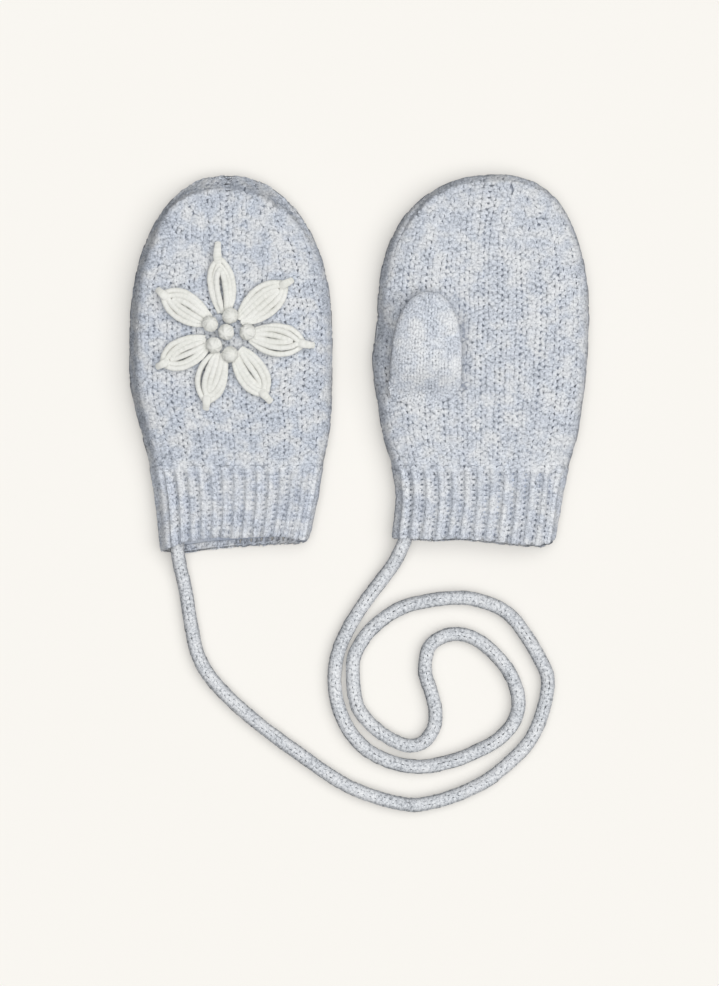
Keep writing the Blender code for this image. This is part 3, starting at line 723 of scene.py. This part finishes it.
def section_ring(mitten, along, angles, inset=0.0):
    """Points round a section, at angles from 0 on the right over the top."""
    middle, half, top, lean, fold, power, rim, closing = sizes_at(mitten, along, inset)
    cos, sin = np.cos(angles), np.sin(angles)
    powers = np.where((cos < 0) & (sin > 0), fold, power)
    across = np.sign(cos) * np.abs(cos) ** (2 / powers)
    rise = np.abs(sin) ** (2 / powers)
    upper = sin >= 0
    inwards = rise * closing * (lean * (1 - across) - rim * (1 + across)) / 2
    x = middle + half * across + np.where(upper, inwards, 0.0)
    high = SEAM_HEIGHT + (top - SEAM_HEIGHT) * rise * closing * kept_at_tip(mitten, x, along)
    sunk = np.minimum(FLAT_SHARE * rise * closing, 1.0)
    low = SEAM_HEIGHT * (1 - sunk) + inset * sunk + arch_over_thumb(mitten, x, along) * sunk**2
    return np.stack([x, np.full_like(x, along), np.where(upper, high, low)], axis=1)


# %% [markdown]
# ## The hands
# Each hand is knitted in the round from the cuff up, in a broken check: blocks of
# two stitches by two rows are knit and purl by turns.  Towards the tip stitches
# are knitted together on four lines, so fewer and fewer are left to close it.

# %% A hand's surface and rows
HAND_WALES = 48
SECTORS = 8               # stitches are lost at every second border of these
HAND_ROW = 0.00243
FULL_PITCH = 0.00345      # a stitch's width, by which a row of the dome is counted
PAIRED = 0.055            # wales stand in pairs, closer together by this share
SWELL = 0.00028           # how much the cloth rises and sinks between its hollows
SWELLS = 7                # waves that make them up
SWELL_SIZE = 2.6          # and the usual height of their sum


def soft_hollows(table, seed):
    """Let the upper side of a cloth rise and sink a little, unevenly."""
    chance = np.random.default_rng(seed)
    x, y, z = table[..., 0], table[..., 1], table[..., 2]
    swell = np.zeros_like(x)
    for _ in range(SWELLS):
        turn, wave = chance.uniform(0, math.pi), chance.uniform(110, 300)
        phase = chance.uniform(0, 6.28)
        swell += np.sin((x * math.cos(turn) + y * math.sin(turn)) * wave + phase)
    free = ease((z - 0.006) / 0.004)
    return table + outward(table) * (SWELL * swell / SWELL_SIZE * free)[..., None]


def hand_table(mitten, seed):
    """The outer surface of a hand, spaced evenly round it and along it."""
    low = np.linspace(CUFF_TOP, mitten["widest"], 60)
    turn = np.linspace(0, math.pi / 2, 120)[1:]
    places = [*low, *(mitten["widest"] + (mitten["tip"] - mitten["widest"]) * np.sin(turn))]
    rings = [section_ring(mitten, along, once_round(480)) for along in places]
    return soft_hollows(even_table(rings, 360, 288), seed)


def hand_row_edges(table, rows):
    """Give each row its stitches, fewer where the hand narrows in its dome."""
    girths = np.linalg.norm(np.roll(table, -1, axis=1) - table, axis=2).sum(axis=1)
    widest = int(np.argmax(girths))
    per_sector = HAND_WALES // SECTORS

    def edges(row):
        i = int(round((row + 0.5) / rows * (len(girths) - 1)))
        many = float(per_sector)
        if i > widest:
            many = min(many, girths[i] / SECTORS / FULL_PITCH)
        count = max(1, round(many))
        many = max(many, 1.0)
        starts, ends, numbers = [], [], []
        for sector in range(SECTORS):
            inner = np.minimum(np.arange(count + 1) / many, 1.0)
            inner[-1] = 1.0
            own = np.arange(count)
            if sector % 2:
                inner, own = 1 - inner[::-1], per_sector - 1 - own[::-1]
            starts.extend((sector + inner[:-1]) / SECTORS)
            ends.extend((sector + inner[1:]) / SECTORS)
            numbers.extend(sector * per_sector + own)
        starts, ends, numbers = np.array(starts), np.array(ends), np.array(numbers)
        pull = PAIRED * (ends - starts) * np.where(numbers % 2, -1, 1)
        return starts + pull, ends + pull, numbers

    return edges


def broken_check(row, number):
    """Knit or purl, in blocks of two stitches by two rows."""
    return 1 if (row // 2 + number // 2) % 2 == 0 else -1


# %% [markdown]
# The flower mitten's tip is drawn together in a short slit, and a fold runs from
# it to the right shoulder.  Soft troughs run down both sides of the thumb that
# lies on the plain mitten.

# %% Knitting the hands
HAND_YARN = 0.00091
HAND_DEPTH = 0.00044
HAND_LEAN = 0.18
# creases are drawn in, and their bottoms also get painted shade in the wool's colour
#        start            end              width   depth
CREASES = {
    "flower_mitten": (
        (-0.0525, 0.0756, -0.0527, 0.0714, 0.0012, 0.0040),
        (-0.0525, 0.0702, -0.0456, 0.0692, 0.0013, 0.0012),
        (-0.0456, 0.0692, -0.0388, 0.0670, 0.0014, 0.0012),
        (-0.0388, 0.0670, -0.0320, 0.0628, 0.0015, 0.0008),
    ),
    "plain_mitten": (
        (0.0500, 0.0756, 0.0500, 0.0722, 0.0010, 0.0008),
        (0.0388, 0.0262, 0.0412, 0.0190, 0.0018, 0.0006),
        (0.0412, 0.0190, 0.0424, 0.0060, 0.0024, 0.0010),
        (0.0424, 0.0060, 0.0426, -0.0090, 0.0024, 0.0009),
        (0.0146, 0.0262, 0.0118, 0.0190, 0.0018, 0.0008),
        (0.0118, 0.0190, 0.0110, 0.0020, 0.0022, 0.0010),
        (0.0110, 0.0020, 0.0108, -0.0120, 0.0020, 0.0008),
    ),
}


def make_hand(mitten, seed):
    """The stitches of the upper and the under side of one hand."""
    table = hand_table(mitten, seed)
    cloth = (table, outward(table))
    rows = round(lengths(table[:, table.shape[1] // 2])[-1] / HAND_ROW) - 1
    plan = plan_rows(rows, hand_row_edges(table, rows), broken_check, HAND_LEAN)
    plan["lift"] -= FLATTENED * HAND_YARN + HAND_DEPTH
    name = mitten["name"]
    upper = knit(name + "_upper_stitches", cloth, plan, HAND_YARN, HAND_DEPTH, 10, (0.25, 0.75),
                 creases=CREASES[name])
    under = knit(name + "_under_stitches", cloth, plan, HAND_YARN, HAND_DEPTH, 8, (-0.25, 0.25))
    return [keep(piece, "hand_knit", mitten["wool"]) for piece in (upper, under)]


flower_hand = make_hand(FLOWER_MITTEN, 3)
plain_hand = make_hand(PLAIN_MITTEN, 5)

# %% [markdown]
# Behind the stitches lies the wool that the eye sees between them, so a thin
# closed wall runs on the inside.  It has the form of the solid it stands for, and
# its dark colour is painted shade for the hollows between the stitches.

# %% The wall behind the stitches
SHELL_OUTSIDE = 0.00150
SHELL_INSIDE = 0.00230
SHELL_COLUMNS = 64


def shell_mesh(name, ring_at, rows, closed_tip):
    """A thin closed wall.  ring_at(share, side) gives the ring of points there, on
    the outer side (0) or the inner one (1)."""
    mesh = bmesh.new()
    rings = [ring_at(row / rows, 0) for row in range(rows + 1)]
    rings += [ring_at(row / rows, 1) for row in range(rows, -1, -1)]
    made = [[mesh.verts.new(point) for point in ring[:-1]] for ring in rings]
    pairs = list(zip(made, made[1:]))
    if closed_tip:
        del pairs[rows]
    for low, high in [*pairs, (made[-1], made[0])]:
        for k in range(len(low)):
            k1 = (k + 1) % len(low)
            mesh.faces.new((low[k], low[k1], high[k1], high[k]))
    bmesh.ops.remove_doubles(mesh, verts=mesh.verts, dist=1e-6)
    data = bpy.data.meshes.new(name)
    mesh.to_mesh(data)
    mesh.free()
    data.uv_layers.new(name="yarn")
    data.shade_smooth()
    return add_piece(name, data)


def hand_shell(mitten, *nodes):
    """The wall of one hand."""
    def ring_at(share, side):
        inset = (SHELL_OUTSIDE, SHELL_INSIDE)[side]
        tip = mitten["tip"] - inset
        turn = share * 2 - 1
        along = CUFF_TOP + (mitten["widest"] - CUFF_TOP) * min(share * 2, 1.0)
        if turn > 0:
            along = mitten["widest"] + (tip - mitten["widest"]) * math.sin(turn * math.pi / 2)
        ring = section_ring(mitten, along, once_round(SHELL_COLUMNS), inset)
        ring[:, 2] -= drawn_in(ring, CREASES[mitten["name"]])
        return ring

    piece = shell_mesh(mitten["name"] + "_hand", ring_at, 40, True)
    return keep(piece, "hand_knit", painted_shade_wool, *nodes)


flower_shell = hand_shell(FLOWER_MITTEN, "flower_mitten_back", "flower_mitten_palm")
plain_shell = hand_shell(PLAIN_MITTEN, "plain_mitten_back", "plain_mitten_palm")
print("hands made")

# %% [markdown]
# ## The ribbed cuffs
# One knit stitch and one purl stitch by turns make a rib.  The knit wales stand
# out and close up, and the purl wales sink between them into dark furrows, so the
# cuff's surface is ribbed itself before the stitches go on it.  The ribs fade out
# at the hand and at the left fold, where they are stretched flat.

# %% A cuff's surface and ribs
RIB_START = 0.205         # the first furrow, as a share of the way round
RIB_RAISED = 0.0002
RIB_DEEP = 0.0014
RIB_ROUND = 2.0           # above 1 the furrows are wider and the ribs narrower
RIB_FADE = (1.5, 0.25)    # the rows over which ribs fade at the hand, and what is left


def cuff_ring(mitten, share, angles, inset=0.0):
    """A ring of the cuff: share 0 is the hem and 1 is where the hand starts."""
    low = mitten["sections"][-1][0]
    along = low + (CUFF_TOP - low) * share
    ring = section_ring(mitten, along, angles, inset)
    middle, half, top = sizes_at(mitten, low)[:3]
    hem = np.array([smooth_row(mitten["hem"], (x - middle) / half) for x in ring[:, 0]])
    side = ease(ring[:, 2] / top)
    edge = hem[:, 1] + (hem[:, 0] - hem[:, 1]) * side
    ring[:, 1] = edge * (1 - share) + CUFF_TOP * share
    return ring


def rib_edges(mitten):
    """The borders of the ribs, and the edges of the stitches: a purl stitch lies in
    the furrow on each border, and a knit stitch between two of them."""
    top = (1 - 2 * RIB_START) / mitten["ribs"]
    under = 2 * RIB_START / mitten["under_ribs"]
    borders = [RIB_START + top * i for i in range(mitten["ribs"])]
    borders += [1 - RIB_START + under * i for i in range(mitten["under_ribs"] + 1)]
    borders = np.array(borders)
    gap = np.diff(borders)
    furrow = np.append(gap, gap[0]) * (1 - mitten["knit_share"]) / 2
    starts, ends, numbers = [], [], []
    for i in range(len(gap)):
        left, right = borders[i], borders[i + 1]
        starts += [left - furrow[i], left + furrow[i]]
        ends += [left + furrow[i], right - furrow[i + 1]]
        numbers += [2 * i + 1, 2 * i]
    return borders, np.array(starts), np.array(ends), np.array(numbers)


def ribbed(table, borders, first, drift_at, rows):
    """Sink a cuff's surface at the borders of its ribs.  It is left as it is at the
    sides, where it lies on the floor, and before the first rib.  The second table
    tells how deep each point is in a furrow."""
    shares = np.arange(table.shape[1]) / table.shape[1]
    facing, made, depth = outward(table), table.copy(), np.zeros((*table.shape[:2], 1))
    for row in range(len(table)):
        high = row / (len(table) - 1)
        at = borders + drift_at(high)
        at = np.concatenate([at[:-1] - 1, at[:-1], at[:-1] + 1, at[-1:] + 1])
        number = np.interp(shares, at, np.arange(len(at)))
        from_left = ease(number - len(borders) + 1 - first)
        level = facing[row, :, 2] ** 2 * np.where(shares < 0.5, from_left, 1.0)
        fade = ease((1 - high) * rows / RIB_FADE[0] + RIB_FADE[1])
        rib = np.abs(np.sin(math.pi * (number % 1))) ** RIB_ROUND
        depth[row, :, 0] = (1 - rib) * fade * level
        raised = RIB_RAISED * ease(table[row, :, 2] / 0.004) * level
        made[row] += facing[row] * (raised - RIB_DEEP * depth[row, :, 0])[:, None]
    return made, depth


# %% [markdown]
# The knitting starts with two yarns twisted round each other, which make a firm
# thin edge at the hem.  Inside the cuff only its wall is seen, and it is smooth.

# %% Knitting the cuffs
RIB_ROW = 0.0021
CUFF_YARN = 0.00087
CUFF_DEPTH = 0.00032
CUFF_LEAN = 0.19
CUFF_SQUEEZE = 0.045
CUFF_LOW = 0.00067        # how deep its stitches lie in the surface
CUFF_LOWER = 0.0004       # and how much deeper they do near the floor
CUFF_SIDE_SHADE = 0.24
CUFF_INSETS = (0.0024, 0.0033)
CUFF_SHELL_START = 0.05   # the wall starts a little above the hem
DRIFT = 0.0011            # ribs wander sideways by about this share of the way round
CAST_ON_YARN = 0.00062
CAST_ON_RADIUS = 0.00030
CAST_ON_TURNS = 66
CAST_ON_POINTS = 560
CAST_ON_ROW = -0.15       # it lies this far beyond the first row
CAST_ON_INSET = 0.0012
CAST_ON_MATTED = 0.85


def make_cast_on(mitten, cloth, rows):
    """The first edge of the knitting: two yarns twisted round each other."""
    table, facing = cloth
    around = np.arange(CAST_ON_POINTS) / CAST_ON_POINTS
    along = np.full(CAST_ON_POINTS, CAST_ON_ROW / rows)
    centre, away = read_table(table, along, around), read_table(facing, along, around)
    twist = 2 * math.pi * CAST_ON_TURNS * around
    paths = []
    for phase in (0.0, math.pi):
        path = centre + away * (np.cos(twist + phase) * CAST_ON_RADIUS - CAST_ON_INSET)[:, None]
        path[:, 1] += np.sin(twist + phase) * CAST_ON_RADIUS
        path[:, 2] = np.maximum(path[:, 2], CAST_ON_YARN + 0.0001)
        paths.append(path)
    away = np.concatenate([away, away])
    towards_hem = unit(away * 0.4 + np.array((0.0, -0.92, 0.0)))
    return tube_mesh(mitten["name"] + "_cast_on", np.concatenate(paths), away,
                     np.array([0, CAST_ON_POINTS]), True, CAST_ON_YARN,
                     matted=CAST_ON_MATTED, shade=towards_hem)


def make_cuff(mitten, seed, node):
    """The cuff's stitches, its first edge and the wall behind them."""
    rings = [cuff_ring(mitten, share, once_round(480)) for share in np.linspace(0, 1, 40)]
    table = soft_hollows(even_table(rings, 60, 768), seed)
    top_length = lengths(table[:, 384])[-1]
    rows = round(top_length / RIB_ROW)
    borders, starts, ends, numbers = rib_edges(mitten)
    sway = np.random.default_rng(seed).normal(0, 1, (len(numbers) // 2, 2))
    sway = np.concatenate([sway, sway[:1]])

    def drift_at(high):
        bend = sway[:, 0] * np.sin(2.3 * high + sway[:, 1])
        return DRIFT * (bend + sway[:, 1] * high * (1 - high) * 2)

    def edges(row):
        drift = drift_at(row / rows)[:-1].repeat(2)
        return starts + drift, ends + drift, numbers

    table, furrows = ribbed(table, borders, mitten["first_rib"], drift_at, rows)
    cloth = (table, outward(table))
    plan = plan_rows(rows, edges, lambda row, number: 1 if number % 2 == 0 else -1,
                     CUFF_LEAN, CUFF_SQUEEZE)
    height = read_table(table, (plan["row"] + 0.5) / rows, plan["middle"])[:, 2]
    plan["lift"] -= CUFF_LOWER * (1 - ease(height / 0.003)) + CUFF_LOW
    stitches = knit(mitten["name"] + "_cuff_stitches", cloth, plan, CUFF_YARN, CUFF_DEPTH, 8,
                    furrows=furrows, side_shade=CUFF_SIDE_SHADE)
    keep(stitches, "rib_knit", mitten["rib_wool"])
    keep(make_cast_on(mitten, cloth, rows), "rib_knit", mitten["wool"])

    def ring_at(share, side):
        start = CUFF_SHELL_START + (1 - CUFF_SHELL_START) * share
        return cuff_ring(mitten, start, once_round(SHELL_COLUMNS), CUFF_INSETS[side])

    shell = shell_mesh(mitten["name"] + "_cuff_wall", ring_at, 8, False)
    keep(shell, "rib_knit", cuff_lining, node)


make_cuff(FLOWER_MITTEN, 21, "flower_mitten_cuff")
make_cuff(PLAIN_MITTEN, 22, "plain_mitten_cuff")

# %% [markdown]
# ## The thumbs
# A thumb is a small pouch.  The right mitten's thumb lies on its palm and follows
# its height, and the left mitten's is folded under it.

# %% The form of a thumb
THUMB_WALL = 0.0021
THUMB_HALF = 0.0146
THUMB_BASE = -0.0160
THUMB_DOME = -0.0020      # its sides round in from here
THUMB_TIP = 0.0284
THUMB_POWER = 2.3
THUMB_SLANT = 0.0090      # its side away from the hand starts this much farther up
THUMB_RISE = 0.0150       # it rises from the palm over this length
THUMB_SEAM = 0.45
THUMB_GAP = 0.0005
THUMB_CORNER = 0.0095     # the inner corner of its root is rounded over this length
THUMB_CORNER_CUT = 0.34
TOP_THUMB = dict(name="plain_mitten_thumb", base_x=0.0262, tip_x=0.0277, mouth=0.0005,
                 height=0.0074, far_side=1, wool=plain_lightened)
UNDER_THUMB = dict(name="flower_mitten_thumb", base_x=-0.0720, tip_x=-0.0696, mouth=0.0054,
                   height=0.0054, far_side=-1, wool=flower_wool)


def upper_height(mitten, x, y):
    """Height of the mitten's upper side over places in its outline."""
    middle, half, top, lean, fold, power, rim, closing = sizes_at(mitten, y)
    across, rise = (x - middle) / half, 1.0
    for _ in range(4):
        inwards = rise * closing * (lean * (1 - across) - rim * (1 + across)) / 2
        across = min(max((x - inwards - middle) / half, -1.0), 1.0)
        bend = fold if across < 0 else power
        rise = (1 - abs(across) ** bend) ** (1 / bend)
    return SEAM_HEIGHT + (top - SEAM_HEIGHT) * rise * closing * float(kept_at_tip(mitten, x, y))


def thumb_ring(thumb, share, angles, inset=0.0):
    """A ring of a thumb pouch, from its mouth (0) to its tip (1)."""
    points = []
    reach = THUMB_TIP - inset - THUMB_BASE
    leaning = (thumb["tip_x"] - thumb["base_x"]) / (THUMB_TIP - THUMB_BASE)
    for angle in angles:
        along = THUMB_BASE + reach * math.sin(share * math.pi / 2)
        back = (1 - thumb["far_side"] * math.sin(angle)) / 2
        along += THUMB_SLANT * back * ((THUMB_TIP - inset - along) / reach) ** 2
        narrow, closing = dome(along, THUMB_DOME, THUMB_TIP - inset, THUMB_POWER)
        risen = ease((along - THUMB_BASE) / THUMB_RISE)
        high = thumb["mouth"] + (thumb["height"] - thumb["mouth"]) * risen
        seam = high * THUMB_SEAM
        across = math.copysign(abs(math.cos(angle)) ** (2 / THUMB_POWER), math.cos(angle))
        rise = abs(math.sin(angle)) ** (2 / THUMB_POWER)
        if across > 0:
            narrow *= 1 - THUMB_CORNER_CUT * max(1 - (along - THUMB_BASE) / THUMB_CORNER, 0.0) ** 2
        x = thumb["base_x"] + leaning * (along - THUMB_BASE)
        x += (THUMB_HALF - inset) * narrow * across
        sunk = min(FLAT_SHARE * rise * closing, 1.0)
        height = seam + (high - inset - seam) * rise * closing
        if math.sin(angle) < 0:
            height = seam * (1 - sunk) + inset * sunk
        bed = upper_height(PLAIN_MITTEN, x, along) + THUMB_GAP if thumb is TOP_THUMB else 0.0
        points.append((x, along, bed + height))
    return np.array(points)


# %% [markdown]
# Thumbs are in plain knit, so their stitches all show their legs and run up them
# in neat columns, finer than those of the hands.

# %% Knitting the thumbs
THUMB_WALES = 26
THUMB_PITCH = 0.0023
THUMB_ROW = 0.00175
THUMB_YARN = 0.00060
THUMB_DEPTH = 0.00036
THUMB_LEAN = 0.20
THUMB_POINTS = 120        # rows and columns of its table of points
THUMB_SHELL = 0.0013
THUMB_SHELL_START = 0.09  # the wall starts a little above the mouth


def make_thumb(thumb, steps):
    """A thumb's stitches and the wall behind them."""
    rings = [thumb_ring(thumb, share, once_round(96)) for share in np.linspace(0, 1, 60)]
    table = even_table(rings, THUMB_POINTS, THUMB_POINTS)
    cloth = (table, outward(table))
    rows = round(lengths(table[:, THUMB_POINTS // 2])[-1] / THUMB_ROW)
    around = np.linalg.norm(np.roll(table, -1, axis=1) - table, axis=2).sum(axis=1)

    def edges(row):
        wide = around[min(int((row + 0.5) / rows * THUMB_POINTS), THUMB_POINTS)]
        count = int(min(THUMB_WALES, max(5, round(wide / THUMB_PITCH))))
        places = np.arange(count + 1) / count
        return places[:-1], places[1:], np.arange(count)

    plan = plan_rows(rows, edges, lambda row, number: 1, THUMB_LEAN)
    plan["lift"] -= FLATTENED * THUMB_YARN + THUMB_DEPTH
    stitches = knit(thumb["name"] + "_stitches", cloth, plan, THUMB_YARN, THUMB_DEPTH, steps)
    keep(stitches, "thumb_knit", thumb["wool"])

    def ring_at(share, side):
        start = THUMB_SHELL_START + (1 - THUMB_SHELL_START) * share
        return thumb_ring(thumb, start, once_round(40), (THUMB_SHELL, THUMB_WALL)[side])

    shell = shell_mesh(thumb["name"] + "_wall", ring_at, 20, True)
    keep(shell, "thumb_knit", painted_shade_wool, thumb["name"])
    print(thumb["name"], "is", round(around[20], 4), "m round")
    return shell, stitches


top_thumb = make_thumb(TOP_THUMB, 10)
under_thumb = make_thumb(UNDER_THUMB, 8)

# %% [markdown]
# ## The flower
# Each petal is a few long loops of thick cream wool, laid inside each other and
# held down at the tip by one short stitch.  The yarns keep their round shading,
# and their inner sides, where they touch each other, are darkened with painted shade.

# %% Petals of long loops
FLOWER_CENTRE = (-0.0528, 0.0120)
#    direction root  reach   half    tie     slit
PETALS = (
    (96.0, 0.0080, 0.0302, 0.0055, 0.0076, 0.00185),
    (39.5, 0.0070, 0.0312, 0.0064, 0.0042, 0.00126),
    (-8.0, 0.0094, 0.0316, 0.0066, 0.0052, 0.00112),
    (-58.0, 0.0086, 0.0298, 0.0064, 0.0046, 0.00146),
    (-106.0, 0.0084, 0.0290, 0.0064, 0.0044, 0.00122),
    (-154.0, 0.0086, 0.0290, 0.0064, 0.0036, 0.00130),
    (148.5, 0.0086, 0.0298, 0.0062, 0.0044, 0.00136),
)
PETAL_LOOPS = 3
CREAM_YARN = 0.00126
TIE_YARN = 0.00172
SOFT_LOOPS, SOFT_TIE = 0.10, 0.40       # how much loops and ties are matted
PETAL_SIDES = 10
INNER_SHADE = (0.15, 0.9, 0.7)          # on the inner three of a yarn's sides
INNERMOST_SHADE = 0.4                   # the innermost loop has only this much of it
TIE_FROM, TIE_LONGER = 0.0034, 0.0015   # a tie starts this far below the petal's reach


def on_back(distance, sideways, direction):
    """A place on the flower mitten's back, out from the flower's centre."""
    turn = math.radians(direction)
    x = FLOWER_CENTRE[0] + distance * math.cos(turn) - sideways * math.sin(turn)
    y = FLOWER_CENTRE[1] + distance * math.sin(turn) + sideways * math.cos(turn)
    return np.array((x, y, upper_height(FLOWER_MITTEN, x, y)))


def petal_loop(loop, chance, direction, root, reach, half_width, slit):
    """One loop of a petal, out along one side and back along the other."""
    wide = half_width - 0.8 * CREAM_YARN
    wide -= (wide - slit) * loop / (PETAL_LOOPS - 1)
    end = reach - 0.0003 - 0.0023 * loop + chance.normal(0, 0.0003)
    turn = np.linspace(0, 2 * math.pi, 44)
    share = (1 - np.cos(turn)) / 2
    pointed = 1.35 + 0.5 * share**2 + 0.5 * (1 - share) ** 2
    side = np.sign(np.sin(turn)) * np.abs(np.sin(turn)) ** pointed
    side *= 0.62 + 0.55 * share
    spread = 0.00072 * (PETAL_LOOPS - loop - 0.4) * (1 - share) ** 2
    spread *= np.where(turn < math.pi, 1, -1)
    skew = chance.normal(0, 0.00024) * np.sin(share * math.pi)
    wave = 0.00016 * np.sin(turn * 3 + chance.uniform(0, 6))
    places = zip(root + (end - root) * share, wide * side + spread + skew + wave)
    line = np.array([on_back(distance, sideways, direction) for distance, sideways in places])
    sunk = 0.6 + 0.4 * ease(share / 0.25)
    line[:, 2] += CREAM_YARN * sunk * (0.80 + 0.22 * loop) + 0.0005 * np.sin(share * math.pi)
    line[:, 2] += chance.normal(0, 0.00022) * np.sin(turn / 2)
    thick = CREAM_YARN * (0.70 + 0.30 * ease(share / 0.3)) * (1 - 0.16 * share**6)
    return line, thick * (1 + chance.normal(0, 0.05))


def make_petal(number, direction, root, reach, half_width, tie, slit):
    """One petal: loops of yarn and the short stitch that holds their tip."""
    chance = np.random.default_rng(50 + number)
    made = [petal_loop(loop, chance, direction, root, reach, half_width, slit)
            for loop in range(PETAL_LOOPS)]
    along = np.linspace(0, 1, 14)
    places = zip(reach - TIE_FROM + (tie + TIE_LONGER) * along, 0.0004 * np.sin(3 * along + number))
    stitch = np.array([on_back(distance, sideways, direction) for distance, sideways in places])
    stitch[:, 2] += TIE_YARN * (2.2 * np.sin(math.pi * (0.09 + 0.80 * along)) ** 1.3 - 0.4)
    made.append((stitch, TIE_YARN * (1.0 - 0.22 * ease((along - 0.3) / 0.7))))
    path = np.concatenate([line for line, _ in made])
    thick = np.concatenate([radius for _, radius in made])
    starts = np.cumsum([0] + [len(line) for line, _ in made[:-1]])
    away = np.broadcast_to((0.0, 0.0, 1.0), path.shape)
    soft = np.where(np.arange(len(path)) < starts[-1], SOFT_LOOPS, SOFT_TIE)
    petal = tube_mesh(f"petal_{number}", path, away, starts, False, thick, PETAL_SIDES, soft)
    # painted shade on the loops' inner sides, less on the innermost loop
    deep = np.zeros((len(path), PETAL_SIDES))
    deep[:starts[-1], 6:9] = INNER_SHADE
    deep[starts[-2]:starts[-1]] *= INNERMOST_SHADE
    set_painted_shade(petal, deep)
    return keep(petal, "cream_yarn", cream_wool, f"flower_petal_{number}")


petals = [make_petal(i, *facts) for i, facts in enumerate(PETALS, start=1)]
print(len(petals), "petals")

# %% [markdown]
# Six small balls of wound yarn cover the petals' roots.  One is modelled from a
# ball and four rings that sink into it, and the others are copies turned another
# way.

# %% Wound knots
#         direction and distance from the flower's centre
KNOTS = ((0.0, 0.0), (76.0, 0.0067), (153.0, 0.0072), (0.0, 0.0084), (-133.0, 0.0071),
         (-80.0, 0.0090))
KNOT_RADIUS = 0.0033
KNOT_HEIGHT = 0.0052
KNOT_TURN = 1.7           # each copy is turned by this much more, in radians
RING_TURNS = ((78, 0), (66, 62), (84, 118), (25, 200))    # tilt and turn, in degrees


def wound_knot():
    """A ball with rings of yarn wound round it, about the origin."""
    bpy.ops.object.select_all(action="DESELECT")
    bpy.ops.mesh.primitive_uv_sphere_add(segments=24, ring_count=14, radius=KNOT_RADIUS * 0.93)
    ball = bpy.context.object
    rings = []
    for tilt, turn in RING_TURNS:
        bpy.ops.mesh.primitive_torus_add(
            major_radius=KNOT_RADIUS * 0.72, minor_radius=KNOT_RADIUS * 0.30, major_segments=28,
            minor_segments=8, rotation=(math.radians(tilt), 0, math.radians(turn)))
        rings.append(bpy.context.object)
    for part in (*rings, ball):
        part.select_set(True)
    bpy.context.view_layer.objects.active = ball
    bpy.ops.object.join()
    bpy.ops.object.transform_apply(location=True, rotation=True, scale=True)
    ball.data.uv_layers[0].name = "yarn"
    bpy.ops.object.shade_smooth()
    return ball


first_knot = wound_knot()
for number, (direction, distance) in enumerate(KNOTS, start=1):
    knot = add_piece(f"knot_{number}", first_knot.data.copy())
    points = np.empty(len(knot.data.vertices) * 3)
    knot.data.vertices.foreach_get("co", points)
    cos, sin = math.cos(number * KNOT_TURN), math.sin(number * KNOT_TURN)
    points = points.reshape(-1, 3) @ np.array(((cos, -sin, 0), (sin, cos, 0), (0, 0, 1))).T
    points = points * (1, 1, KNOT_HEIGHT / 2 / KNOT_RADIUS) + on_back(distance, 0.0, direction)
    points[:, 2] += KNOT_HEIGHT / 2 + 0.0001
    knot.data.vertices.foreach_set("co", points.ravel())
    keep(knot, "cream_yarn", cream_wool, f"flower_knot_{number}")
bpy.data.objects.remove(first_knot, do_unlink=True)
print(len(KNOTS), "knots")

# %% [markdown]
# ## The floor
# The mittens lie on a plain warm white surface.  Part of its white is its own
# glow, as in a picture of bright paper, and it is kept from lighting the wool.

# %% Floor
GROUND = (0.945, 0.922, 0.880)
PAPER_SHARE = 0.64        # of that colour, as the surface's own
GLOW = 0.267
bpy.ops.object.select_all(action="DESELECT")
bpy.ops.mesh.primitive_plane_add(size=20.0, location=(0, 0, -0.0001))
floor = bpy.context.object
floor.name = "floor"
paper = bpy.data.materials.new("floor paper")
paper.use_nodes = True
shader = paper.node_tree.nodes["Principled BSDF"]
shader.inputs["Base Color"].default_value = (*(PAPER_SHARE * c for c in GROUND), 1)
shader.inputs["Roughness"].default_value = 0.9
shader.inputs["Specular IOR Level"].default_value = 0.0
shader.inputs["Emission Color"].default_value = (*GROUND, 1)
shader.inputs["Emission Strength"].default_value = GLOW
floor.data.materials.append(paper)
floor.visible_diffuse = False
print("floor laid")

# %% [markdown]
# ## Light
# A very large soft light from above and a little from the right leaves the left
# sides in shade.  A pale sky fills the rest, and is darkest near the horizon.

# %% Lights
SKY_BELOW, SKY_HORIZON, SKY_ABOVE = 0.22, 0.02, 0.36

world = bpy.data.worlds.new("pale sky")
world.use_nodes = True
nodes, links = world.node_tree.nodes, world.node_tree.links
direction = nodes.new("ShaderNodeTexCoord").outputs["Generated"]
height = nodes.new("ShaderNodeSeparateXYZ")
links.new(direction, height.inputs["Vector"])
place = nodes.new("ShaderNodeMapRange")
place.inputs["From Min"].default_value = -1.0
links.new(height.outputs["Z"], place.inputs["Value"])
sky = nodes.new("ShaderNodeValToRGB")
sky.color_ramp.elements[0].color = (SKY_BELOW, SKY_BELOW, SKY_BELOW, 1)
sky.color_ramp.elements[1].color = (SKY_ABOVE, SKY_ABOVE, SKY_ABOVE, 1)
sky.color_ramp.elements.new(0.5).color = (SKY_HORIZON, SKY_HORIZON, SKY_HORIZON, 1)
links.new(place.outputs["Result"], sky.inputs["Fac"])
background = nodes["Background"]
background.inputs["Color"].default_value = (0.94, 0.97, 1.0, 1)
links.new(sky.outputs["Color"], background.inputs["Strength"])
bpy.context.scene.world = world
bpy.ops.object.light_add(type="SUN", rotation=(0, math.radians(13.5), 0))
sun = bpy.context.object
sun.data.energy = 2.97
sun.data.angle = math.radians(80)
sun.data.color = (1.0, 0.993, 0.978)
bpy.context.scene.view_settings.view_transform = "Standard"
print("lights set")
